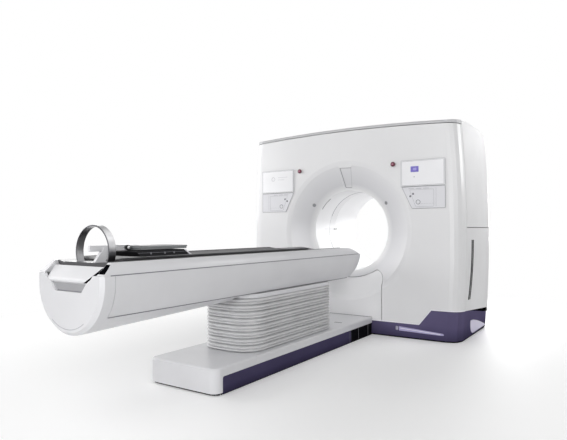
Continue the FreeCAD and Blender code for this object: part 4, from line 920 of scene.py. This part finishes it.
def make_vents(side, name):
    """Black louvres and backing behind the long slot of one side panel, and the slot's black frame."""
    low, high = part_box(f"side_panel_{name}")
    deep = max(-low.x, high.x) - 0.052
    section = ((0.0, 0.0), (0.030, -0.014), (0.030, -0.0122), (0.0, 0.0018))
    slat = tube([[((deep + x) * side, y, z) for y in (-0.022, 0.022)] for x, z in section], ring=False)
    step = (0.0, 0.0018, 0.0122)
    BLACK_TRIM.row(f"vent_louvres_{name}", slat, GAP_BLACK, 44, step, (0, FRONT + 0.238, 0.366))
    corners = ((0.19, 0.33), (0.27, 0.33), (0.355, 0.93), (0.275, 0.93))
    back = [((deep - 0.004) * side, FRONT + y, z) for y, z in corners]
    BLACK_TRIM.plate(f"vent_back_{name}", back, (-0.003 * side, 0, 0), GAP_BLACK, 0.0006)
    panel = carrier(f"side_panel_{name}")
    slot = arc_through((FRONT + 0.316, 0.895), (FRONT + 0.300, 0.640), (FRONT + 0.236, 0.362), 24)
    for edge, reach in enumerate(((-0.040, -0.0095), (0.0095, 0.036))):
        rows = [[(2.1 * side, y + out, z) for out in reach] for y, z in slot]
        BLACK_TRIM.patch(f"vent_frame_{name}_{edge}", panel, rows, (-side, 0, 0), GAP_BLACK, depth=0.0015)


def make_scoop_highlight(side, name):
    """Pale lilac plate in one scoop of the base: painted highlight where the concave scoop catches the light.
    """
    nose = arc_through((0.352, 0.153), (0.368, 0.086), (0.482, 0.024), 8)
    low = arc_through((0.987, 0.024), (0.735, 0.096), (0.478, 0.146), 12)
    outline = [(1.088 * side, FRONT + y, z) for y, z in nose + low]
    LILAC_TRIM.plate(f"scoop_highlight_plate_{name}", outline, (0.007 * side, 0, 0), LILAC_HIGHLIGHT, 0.003)


def make_inlay(side, name):
    """Lilac band in the front of the base, with a painted highlight line along it and two short marks."""
    recess = FRONT + 0.0065
    thick = 0.0030
    right = ((0.548, 0.064), (0.922, 0.056), (0.954, 0.058), (0.962, 0.065), (0.949, 0.075), (0.548, 0.102))
    outline = [(x * side, recess, z) for x, z in right]
    LILAC_TRIM.plate(f"base_inlay_{name}", outline, (0, -thick, 0), LILAC, 0.0012)
    # painted highlight: a pale line along the inlay's face
    line = [(x * side, recess - thick, z) for x, z in ((0.56, 0.086), (0.74, 0.077), (0.93, 0.066))]
    LILAC_TRIM.bead(f"inlay_highlight_{name}", 0.0036, LINE_LIGHT, line)
    marks = [[(x * side, recess - 0.001, z) for z in (0.068, 0.100)] for x in (0.522, 0.536)]
    LILAC_TRIM.bead(f"base_marks_{name}", 0.0028, LINE_LIGHT, *marks)


def make_base_edges():
    """Painted shade: a black strip in the gap under the base and a black band behind it; and a painted
    highlight along the covers' lower edge over it.
    """
    middle = Vector((0.0, 1.46, 0.0))
    outline = outline_round("base_cover", 0.0135, middle.xy, 240)
    outline = scaled([Vector((p.x, p.y, 0)) for p in outline], middle, 0.9955)
    # painted shadow: a black strip fills the gap under the base's cover
    SKIRT_TRIM.band("base_foot_shadow", outline, scaled(outline, middle, 0.975), 0.0, 0.0138, SKIRT_BLACK)
    back = 1.98
    behind = sorted((p for p in outline if p.x > 0 and 1.25 < p.y < back), key=lambda p: p.y)
    behind += sorted((p for p in outline if p.y >= back), key=lambda p: -p.x)
    behind += sorted((p for p in outline if p.x <= 0 and 1.25 < p.y < back), key=lambda p: -p.y)
    behind = scaled(behind, middle, 0.986)
    inner = scaled(behind, middle, 0.992)
    SKIRT_TRIM.band("base_shadow_band", behind, inner, 0.130, 0.256, SKIRT_BLACK, ring=False)
    # painted highlight: a bead paler than the covers along their lower edge
    radius = 0.115
    corner = 1.1142 - radius
    edge = [(0.0, 0.1372), (0.738, 0.1372), (0.8495, 0.2752), (0.92, 0.2760)]
    edge = [(x, FRONT - 0.0002, z) for x, z in edge]
    edge += [(x, y, 0.2767) for x, y in arc((corner, FRONT + radius), (radius, radius), -90, 0, 12)]
    left = [(-x, y, z) for x, y, z in reversed(edge[1:])]
    COVER_TRIM.bead("cover_edge_highlight", 0.0052, EDGE_LIGHT, left + edge)


def make_rear_foot():
    """Black plates at the base's rear ends and a black band over the rear cover's foot: painted shade in the
    gaps by the base.
    """
    for side, name in SIDES:
        # painted shade: a black plate over the rear cover's edge in the gap behind the base
        outline = box_outline(1.000 * side, 0.1552, 1.096 * side, 0.2015, 1.9285)
        SKIRT_TRIM.plate(f"rear_gap_shadow_{name}", outline, (0, 0.001, 0), GAP_BLACK, 0.0002)
    # painted shade: a black band laid over the rear cover's lower part
    cover = carrier("rear_cover")
    foot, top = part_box("rear_cover")[0].z + 0.002, 0.245
    outline = []
    for u, v in arc((0, 0), (1, 1), 5, 175, 72):
        outwards = Vector((u, v, 0))
        centre = Vector((0.9 * u, 1.86, foot + 0.045))
        hit = cover.ray_cast(centre + outwards * 0.6, -outwards)[0]
        if hit:
            outline.append(hit + outwards * 0.0012)
    inner = [p + (Vector((0, 1.6, p.z)) - p).normalized() * 0.004 for p in outline]
    SKIRT_TRIM.band("rear_foot_shadow", outline, inner, foot, top, SKIRT_BLACK, ring=False)


def make_back_screws():
    """Captive screws that hold the rear cover."""
    cover = carrier("rear_cover")
    places = [(x, z) for x in (-0.98, -0.62, 0.62, 0.98) for z in (0.32, 0.86, 1.36)]
    places += [(x, 1.78) for x in (-0.66, 0.0, 0.66)]
    spots = [spot_on(cover, x, z, -1) for x, z in places]
    Pieces("alloy").screws("rear_cover_screws", spots, 0.009, 0.003, LINE_GREY)


def make_rotor_hardware():
    """Ring screws of the bearing, and the contact tracks of the slip ring."""
    for name, node, inset, body in (
        ("bearing_screws", "bearing_outer_ring", 0.010, "gantry"),
        ("rotor_ring_screws", "bearing_inner_ring", 0.026, "rotor"),
    ):
        low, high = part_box(node)
        places = [(p, TOWARDS_FOOT) for p in ring_path(high.x - inset, low.y, steps=48)]
        Pieces("bearing_steel", body).screws(name, places, 0.0055, 0.005, STEEL)
    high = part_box("slip_ring")[1]
    sides = 72
    ring = ring_path(high.x - 0.074, 0.0, z=0.0, steps=sides)
    guide = mesh_of(ring, [(i, (i + 1) % sides) for i in range(sides)])
    track = WELT.mesh(guide, BRASS, Radius=0.0014, Sides=6)
    place = (0, high.y, ISO)
    Pieces("slip_ring_brass", "rotor").row("contact_tracks", track, BRASS, 8, (0.0, 0.0, 0.0), place, 0.017)


# ---- plinth and table top


def make_plinth_trim():
    """Painted shadow in a black strip under the skirts, lines of the dock skirts, a painted shadow line at
    the plinth's joint, and painted shade on the floor of the finger slot.
    """
    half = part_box("plinth_skirts")[1].x - 0.004
    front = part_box("dock_skirts")[1].y
    # painted shadow: a black strip round the plinth's foot fills the gap under its skirts
    foot = [p for p in outline_round("plinth_end_cap", 0.020, (0, -0.98), 180) if p.y < -0.99]
    foot.sort(key=lambda p: -p.y if p.x < 0 else p.y)
    foot.sort(key=lambda p: p.x >= 0)
    outline = [Vector((-half, front, 0)), *(p * 0.985 for p in foot), Vector((half, front, 0))]
    inner = [Vector((p.x * 0.93, p.y + 0.02, 0)) for p in outline]
    SKIRT_TRIM.band("plinth_foot_shadow", outline, inner, 0.0, 0.0155, SKIRT_BLACK, ring=False)
    places = [(x, y) for x in (half + 0.003, -half - 0.003) for y in (0.447, 0.480, 0.632, 0.833)]
    lines = [[(x, y, z) for z in (0.010, 0.106)] for x, y in places]
    SKIRT_TRIM.bead("dock_skirt_lines", 0.0016, LINE_GREY, *lines)
    # painted shadow: a dark line where the plinth's cover meets the dock cover
    joint = [(x, front + 0.001, 0.1640) for x in (-0.284, 0.284)]
    BLACK_TRIM.bead("plinth_joint_shadow", 0.0022, LINE_GREY, joint)
    # painted shade: a black plate on the floor of the finger slot
    slot = FRONT - 0.430
    near, far = slot - 0.0085, slot + 0.0085
    outline = [(x, y, 0.1622) for x, y in ((0.110, near), (0.188, near), (0.188, far), (0.110, far))]
    BLACK_TRIM.plate("finger_slot_shadow", eased(outline, 0.008), (0, 0, -0.002), GAP_BLACK)


def make_foot_trim():
    """Crease of the table's foot, painted shade in its recess, and black patches at its right that paint the
    shade in the gaps there.
    """
    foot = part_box("trough_end_cap")[0].y
    before = foot - 0.3
    crease = [(x, foot + 0.0002, z) for x, z in arc((0, 0.735), (0.232, 0.240), 236, 304, 16)]
    TABLE_TRIM.bead("end_cap_crease", 0.0018, LINE_FAINT, crease)
    # painted shade: a grey patch laid in the recess under the fairing's lip
    fairing = carrier("foot_fairing")
    rows = [[(x, before, z) for x in (-half, 0.0, half)] for z, half in ((0.687, 0.104), (0.724, 0.136))]
    TABLE_TRIM.patch("recess_shade_patch", fairing, rows, (0, 1, 0), SHADE)
    # painted shade: a dark line along the recess's foot
    lip = [(x, foot + 0.013, 0.6855) for x in (-0.104, 0.104)]
    TABLE_TRIM.bead("recess_shade_line", 0.0026, LINE_GREY, lip)
    # painted shade: black patches on the fairing and rail fill the gaps at the foot's right
    # heights of the gap beside the fairing, with its inner and outer edge
    edge = (
        (0.7300, 0.124, 0.1475), (0.7400, 0.142, 0.1625), (0.7515, 0.156, 0.1798),
        (0.7700, 0.168, 0.1902), (0.7900, 0.180, 0.2020), (0.8060, 0.189, 0.2112),
    )
    rows = []
    for here, after in zip(edge, edge[1:]):
        for step in range(4):
            z, inner, outer = between(here, after, step / 4)
            rows.append([(inner + (outer - inner) * k / 7, before, z) for k in range(8)])
    TABLE_GAPS.patch("foot_gap_shadow_right", fairing, rows, (0, 1, 0), GAP_BLACK, 0.0008)
    rows = []
    for outer, z in arc_through((0.266, 0.770), (0.263, 0.786), (0.242, 0.828), 8)[1:-1]:
        rows.append([(0.2175 + (outer - 0.219) * k / 5, before, z) for k in range(6)])
    TABLE_GAPS.patch("rail_gap_shadow_right", carrier("side_rail_right"), rows, (0, 1, 0), GAP_BLACK, 0.0008)


def make_table_seams():
    """Dark lines along the seams under the side rails and over the lower pan: painted shadow in the seams."""
    shell = carrier("trough_shell")
    start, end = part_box("side_rail_right")
    for side, name in SIDES:
        for seam, radius, height, above, first, last in (
            ("rail", 0.0027, 0.7685, 0.0012, start.y + 0.040, end.y - 0.020),
            ("pan", 0.0024, 0.5625, -0.0020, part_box("trough_end_cap")[1].y + 0.004, 0.560),
        ):
            flank = shell.ray_cast(Vector((0.6 * side, -1.5, height)), Vector((-side, 0, 0)))[0].x
            # painted shadow: a grey bead laid along the seam
            line = [(flank, y, height + above) for y in (first, last)]
            TABLE_GAPS.bead(f"{seam}_seam_{name}", radius, LINE_GREY, line)


def make_tray_trim():
    """White bar on the head of the cranked bracket, and the hinge plate and rim of the tray."""
    low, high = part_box("tray_bracket")
    section = ((-2.018, 0.880), (-1.900, 0.880), (-1.900, 0.9105), (-2.018, 0.9105))
    bar = [(low.x + 0.0015, y, z) for y, z in section]
    across = (high.x - low.x - 0.003, 0, 0)
    Pieces("table_white", "cradle").plate("bracket_bar", bar, across, TABLE_PAINT, 0.0016)
    low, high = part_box("tray_plate")
    left, right = low.x + 0.004, high.x - 0.004
    outline = [(x, y, high.z) for x, y in ((left, -1.770), (right, -1.770), (right, -1.700), (left, -1.700))]
    Pieces("alloy", "tray").plate("tray_hinge_plate", outline, (0, 0, 0.0022), ALLOY, 0.0005)
    left, right, end = low.x + 0.006, high.x - 0.006, high.y - 0.004
    rim = [(left, -1.764), (right, -1.764), (right, end - 0.008), (right - 0.016, end)]
    rim += [(left + 0.016, end), (left, end - 0.008)]
    outline = [Vector((x, y, 0)) for x, y in rim]
    middle = Vector(((low.x + high.x) / 2, (low.y + high.y) / 2 + 0.02, 0))
    inner = scaled(outline, middle, 0.93)
    Pieces("tray_slate", "tray").band("tray_rim", outline, inner, 0.8835, 0.8935, SLATE)


def make_hoop_edges():
    """Rolled edges of the hoop's band."""
    middle, half = (HOOP_LOW.y + HOOP_HIGH.y) / 2, (HOOP_HIGH.y - HOOP_LOW.y) / 2
    foot = math.degrees(math.asin((HOOP_LOW.z - HOOP_Z) / HOOP_R)) + 1
    places = [middle + half * way for way in (-0.97, 0.97)]
    paths = [ring_path(HOOP_R - 0.0042, y, foot, 180 - foot, 72, HOOP_Z) for y in places]
    Pieces("hoop_metal", "cradle").bead("hoop_edges", 0.0038, HOOP_EDGE, *paths, sides=8)


def make_knob_cap():
    """Bright end of the clamping knob."""
    low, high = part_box("tray_knob")
    place = (high.x, (low.y + high.y) / 2, (low.z + high.z) / 2)
    profile = ((0.0, 0.0020), (0.006, 0.0018), (0.0092, 0.0008), (0.0098, -0.001))
    Pieces("alloy", "tray").turned("knob_cap", place, (1, 0, 0), profile, ALLOY)


def make_case_trim():
    """Pale end block, lid line and clips of the flat case on the mattress."""
    low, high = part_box("accessory_case")
    end, top = high.y, high.z - 0.0004
    foot = low.z + 0.001
    block = ((end - 0.0455, top), (end - 0.030, top), (end + 0.018, foot), (end + 0.0006, foot))
    outline = [(high.x + 0.0006, y, z) for y, z in block]
    across = (low.x - high.x - 0.0012, 0, 0)
    CASE_TRIM.plate("case_end_block", outline, across, EDGE_LIGHT, 0.001)
    lid = [(high.x + 0.0002, y, low.z + 0.019) for y in (low.y + 0.012, end - 0.030)]
    CASE_TRIM.bead("case_lid_line", 0.0010, LINE_GREY, lid)
    places = [Vector((high.x, low.y + along, low.z + 0.016)) for along in (0.10, 0.20, 0.27)]
    clips = [(place, Vector((1, 0, 0))) for place in places]
    CASE_TRIM.screws("case_clips", clips, 0.006, 0.0026, LINE_GREY)


# ---- bellows

BELLOWS_FOLDS = 8
ROWS_PER_FOLD = 20
PLEAT_DEPTH = 0.026
CLOTH_GAP = 0.0016                    # how much smaller than the solid the cloth's plan is
CLOTH_CORNER = 0.169
CLOTH_COLUMNS = 181
CLOTH_THICKNESS = 0.0025


def make_bellows():
    """The folded cloth of the lift."""
    low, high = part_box("bellows")
    rise, middle = high.z - low.z, (low.y + high.y) / 2
    mesh = pleat_growth().mesh(
        mesh_of([(0, 0, 0)]),
        pleat_cloth(),
        Width=high.x - low.x - CLOTH_GAP,
        Length=high.y - low.y - CLOTH_GAP,
        Corner=CLOTH_CORNER,
        Low=low.z,
        Rise=rise,
        Folds=float(BELLOWS_FOLDS),
        Depth=PLEAT_DEPTH,
        Columns=CLOTH_COLUMNS,
        Rows=BELLOWS_FOLDS * ROWS_PER_FOLD + 1,
    )
    mesh.transform(Matrix.Translation((0, middle, 0)))
    face = mesh.polygons[len(mesh.polygons) // 2]
    if face.normal.dot(face.center - Vector((0, middle, face.center.z))) < 0:
        mesh.flip_normals()
    piece = Pieces("bellows_grey").adopt("bellows_cloth", mesh, closed=False, crease=80)
    wall = piece.modifiers.new("Wall", "SOLIDIFY")
    wall.thickness = CLOTH_THICKNESS
    wall.offset = -1
    solid = evaluated(piece)
    piece.modifiers.clear()
    piece.data = solid
    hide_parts("bellows")
    travel = -min(next(j for j in frame["joints"] if j["name"] == "table_lift")["range_m"])
    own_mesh(piece)


# ---- mattress

PAD_LOW, PAD_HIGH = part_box("cradle_pad")
DISH_RISE = 0.0247                    # how much higher the dish is at its edge
CROWN_RISE = 0.0155                   # the same for the mattress's top
SLAB_DROP = 0.0045                    # how far the slab's top stays below the crown
SKIN_VOXEL = 0.0065
AIR_PRESSURE = 4.0
SWELL_FRAMES = 20
MOST_SWELL = 0.004


def dish(x):
    """Height of the cradle's dish under the mattress."""
    return PAD_LOW.z + 0.0006 + DISH_RISE * (x / PAD_HIGH.x) ** 2


def crown(x):
    """Highest the mattress may stand."""
    return PAD_HIGH.z - 0.016 + CROWN_RISE * (x / PAD_HIGH.x) ** 2


def mattress_block():
    """Closed slab between dish and crown, a little smaller than the finished mattress."""
    across, along = 28, 90
    half, start, length = PAD_HIGH.x - 0.005, PAD_LOW.y + 0.006, PAD_HIGH.y - PAD_LOW.y - 0.012
    spots = [half * (2 * i / across - 1) for i in range(across + 1)]
    lengths = [start + length * step / along for step in range(along + 1)]
    section = [(x, crown(x) - SLAB_DROP) for x in spots] + [(x, dish(x) + 0.001) for x in reversed(spots)]
    return cleaned(tube([[(x, y, z) for y in lengths] for x, z in section], ring=False))


def plumped(mesh):
    """Swell a closed pad as air pressure would, by cloth simulation, each point within MOST_SWELL."""
    pad = bpy.data.objects.new("pad", mesh)
    scene = bpy.context.scene
    scene.collection.objects.link(pad)
    skin = pad.modifiers.new("Skin", "REMESH")
    skin.mode = "VOXEL"
    skin.voxel_size = SKIN_VOXEL
    pad.data = evaluated(pad)
    pad.modifiers.clear()
    rest = [v.co.copy() for v in pad.data.vertices]
    cloth = pad.modifiers.new("Vinyl", "CLOTH")
    cloth.settings.use_pressure = True
    cloth.settings.uniform_pressure_force = AIR_PRESSURE
    cloth.settings.effector_weights.gravity = 0.0
    cloth.settings.quality = 4
    cloth.collision_settings.use_collision = False
    for number in range(1, SWELL_FRAMES + 1):
        scene.frame_set(number)
    swollen = evaluated(pad)
    pad.modifiers.clear()
    scene.frame_set(1)
    for vertex, start in zip(swollen.vertices, rest):
        move = vertex.co - start
        if move.length > MOST_SWELL:
            vertex.co = start + move.normalized() * MOST_SWELL
    pad.data = swollen
    made = pad.data.copy()
    bpy.data.objects.remove(pad)
    return made


def make_mattress():
    """Thin vinyl mattress in the dish of the cradle, plumped, with piping and stitches at its edges."""
    mesh = plumped(mattress_block())
    for vertex in mesh.vertices:
        x = max(-PAD_HIGH.x, min(PAD_HIGH.x, vertex.co.x))
        vertex.co.x = x
        vertex.co.z = min(max(vertex.co.z, dish(x)), crown(x))
    vinyl = mattress_vinyl()
    piece = MATTRESS.adopt("mattress", mesh, vinyl, crease=60)
    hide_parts("cradle_pad")
    inset = 0.0055
    half = PAD_HIGH.x - inset
    path = []
    for y, direction in ((PAD_LOW.y + inset, 1), (PAD_HIGH.y - inset, -1)):
        for i in range(25):
            x = half * (2 * i / 24 - 1) * direction
            path.append(Vector((x, y, crown(x) - SLAB_DROP)))
    MATTRESS.bead("mattress_piping", 0.0022, vinyl, path, closed=True, sides=8)
    inner = [Vector((p.x * 0.965, p.y + (0.008 if p.y < -1 else -0.008), p.z + 0.0006)) for p in path]
    guide = mesh_of(inner, [(i, (i + 1) % len(inner)) for i in range(len(inner))])
    MATTRESS.adopt("mattress_stitches", STITCH.mesh(guide, BLACK, Pitch=0.007, Thread=0.0006, Length=0.0045))


# ---- making the pieces

make_flare_trim()
make_bore_trim()
for side, name in SIDES:
    make_screen(side, name)
    make_keys(side, name)
    make_stop_cap(name)
    make_vents(side, name)
    make_scoop_highlight(side, name)
    make_inlay(side, name)
make_base_edges()
make_rear_foot()
make_back_screws()
make_rotor_hardware()
make_plinth_trim()
make_foot_trim()
make_table_seams()
make_tray_trim()
make_hoop_edges()
make_knob_cap()
make_case_trim()
make_bellows()
make_mattress()

# ---- studio and camera

FLOOR_HALF = 60.0
FLOOR_Z = -0.0005
FLOOR_LIFT = 0.16                     # how much the camera's view of the floor is lifted
WHITE_FROM, WHITE_TO = 0.2, 2.4       # distances over which the floor turns plain white
WORLD_LIGHT = 0.05
EYE = (2.322, -3.625, 0.985)
YAW, TILT, ROLL = 33.756, 1.147, -0.13  # degrees
LENS_MM, SENSOR_MM = 32.86, 36.0


def seen_rays(nodes):
    """One for the rays that show the background: camera, glossy and transmission."""
    rays = nodes.add("ShaderNodeLightPath").outputs
    seen = nodes.maths("MAXIMUM", rays["Is Camera Ray"], rays["Is Glossy Ray"])
    return nodes.maths("MAXIMUM", seen, rays["Is Transmission Ray"])


def floor_paint():
    """Pale floor that keeps the object's shadow, and fades to plain white further out."""
    paint = Paint("studio_floor")
    maths = paint.maths
    paint.vary((0.90, 0.90, 0.90), 0.01, 0.4)
    paint.give({"Roughness": 0.6, "Specular IOR Level": 0.2})

    def square_past(along, middle, half):
        """Square of how far a coordinate lies outside a stretch about its middle."""
        out = maths("SUBTRACT", maths("ABSOLUTE", maths("SUBTRACT", along, middle)), half)
        return maths("POWER", maths("MAXIMUM", out, 0.0), 2.0)

    x, y, _ = paint.axes(paint.place)
    away = maths("SQRT", maths("ADD", square_past(x, 0.0, 0.9), square_past(y, 0.3, 1.5)))
    spread = maths("DIVIDE", maths("SUBTRACT", away, WHITE_FROM), WHITE_TO - WHITE_FROM)
    fade = maths("SMOOTH_MIN", maths("MAXIMUM", spread, 0.0), 1.0, 0.2)
    seen = seen_rays(paint)
    lift = paint.add("ShaderNodeEmission", {"Strength": maths("MULTIPLY", seen, FLOOR_LIFT)}).outputs[0]
    near = paint.add("ShaderNodeAddShader", {0: paint.shader.outputs[0], 1: lift}).outputs[0]
    white = paint.add("ShaderNodeEmission").outputs[0]
    inputs = {"Fac": maths("MULTIPLY", fade, seen), 1: near, 2: white}
    blend = paint.add("ShaderNodeMixShader", inputs).outputs[0]
    output = next(n for n in paint.tree.nodes if n.type == "OUTPUT_MATERIAL")
    paint.fill(output, {"Surface": blend})
    return paint.material


def studio():
    """Pale floor and white surround."""
    h = FLOOR_HALF
    mesh = mesh_of([(x, y, FLOOR_Z) for x, y in ((-h, -h), (h, -h), (h, h), (-h, h))], faces=[(0, 1, 2, 3)])
    mesh.materials.append(floor_paint())
    floor = bpy.data.objects.new("floor", mesh)
    bpy.context.scene.collection.objects.link(floor)
    world = bpy.data.worlds.new("studio")
    bpy.context.scene.world = world
    world.use_nodes = True
    nodes = Nodes(world.node_tree)
    strength = nodes.maths("MULTIPLY_ADD", seen_rays(nodes), 1.0 - WORLD_LIGHT, WORLD_LIGHT)
    nodes.fill(nodes.tree.nodes["Background"], {"Strength": strength, "Color": (1.0, 1.0, 1.0, 1.0)})


def lamp(name, place, aim, size, power):
    """Soft rectangular lamp aimed at a point."""
    data = bpy.data.lights.new(name, "AREA")
    data.shape = "RECTANGLE"
    data.size, data.size_y = size
    data.energy = power
    light = bpy.data.objects.new(name, data)
    light.location = place
    light.rotation_euler = (Vector(aim) - Vector(place)).to_track_quat("-Z", "Y").to_euler()
    bpy.context.scene.collection.objects.link(light)


def camera():
    """The photograph's view: at the bore's height, off to the right of the table's foot."""
    data = bpy.data.cameras.new("camera")
    data.lens = LENS_MM
    data.sensor_width = SENSOR_MM
    eye = bpy.data.objects.new("camera", data)
    bpy.context.scene.collection.objects.link(eye)
    yaw, tilt, roll = (math.radians(angle) for angle in (YAW, TILT, ROLL))
    turn = Matrix.Rotation(yaw, 4, "Z") @ Matrix.Rotation(math.pi / 2 + tilt, 4, "X")
    eye.matrix_world = Matrix.Translation(EYE) @ turn @ Matrix.Rotation(roll, 4, "Z")
    bpy.context.scene.camera = eye


# place, aim, size and power in watts
LAMPS = {
    "key": ((-4.8, -2.4, 2.2), (0.1, 0.9, 1.1), (3.0, 2.4), 94),
    "front": ((0.5, -6.0, 2.4), (0.2, 0.9, 1.0), (4.0, 2.4), 44),
    "front_right": ((4.0, -5.0, 2.5), (0.4, 0.6, 1.0), (3.0, 2.4), 128),
    "top_front": ((0.0, -4.0, 5.0), (0.0, 0.5, 0.5), (4.0, 3.0), 60),
    "back": ((0.0, 6.0, 3.5), (0.0, 1.2, 1.0), (4.0, 2.0), 100),
    "bore": ((0.55, 4.6, 1.25), (-0.3, 1.2, 1.0), (0.9, 0.9), 64),
    "left": ((-5.0, 0.8, 2.6), (0.0, 0.5, 0.8), (3.0, 3.0), 70),
    "side": ((2.6, 1.9, 2.0), (1.1, 1.5, 1.7), (0.8, 0.8), 16),
    "side_top": ((2.4, 1.5, 4.2), (1.1, 1.5, 1.6), (1.5, 1.5), 6),
    "strip": ((1.45, -4.8, 1.3), (1.0, 0.93, 1.2), (0.25, 2.6), 20),
}

studio()
for name, setting in LAMPS.items():
    lamp(name, *setting)
camera()
bpy.context.scene.view_settings.view_transform = "Standard"
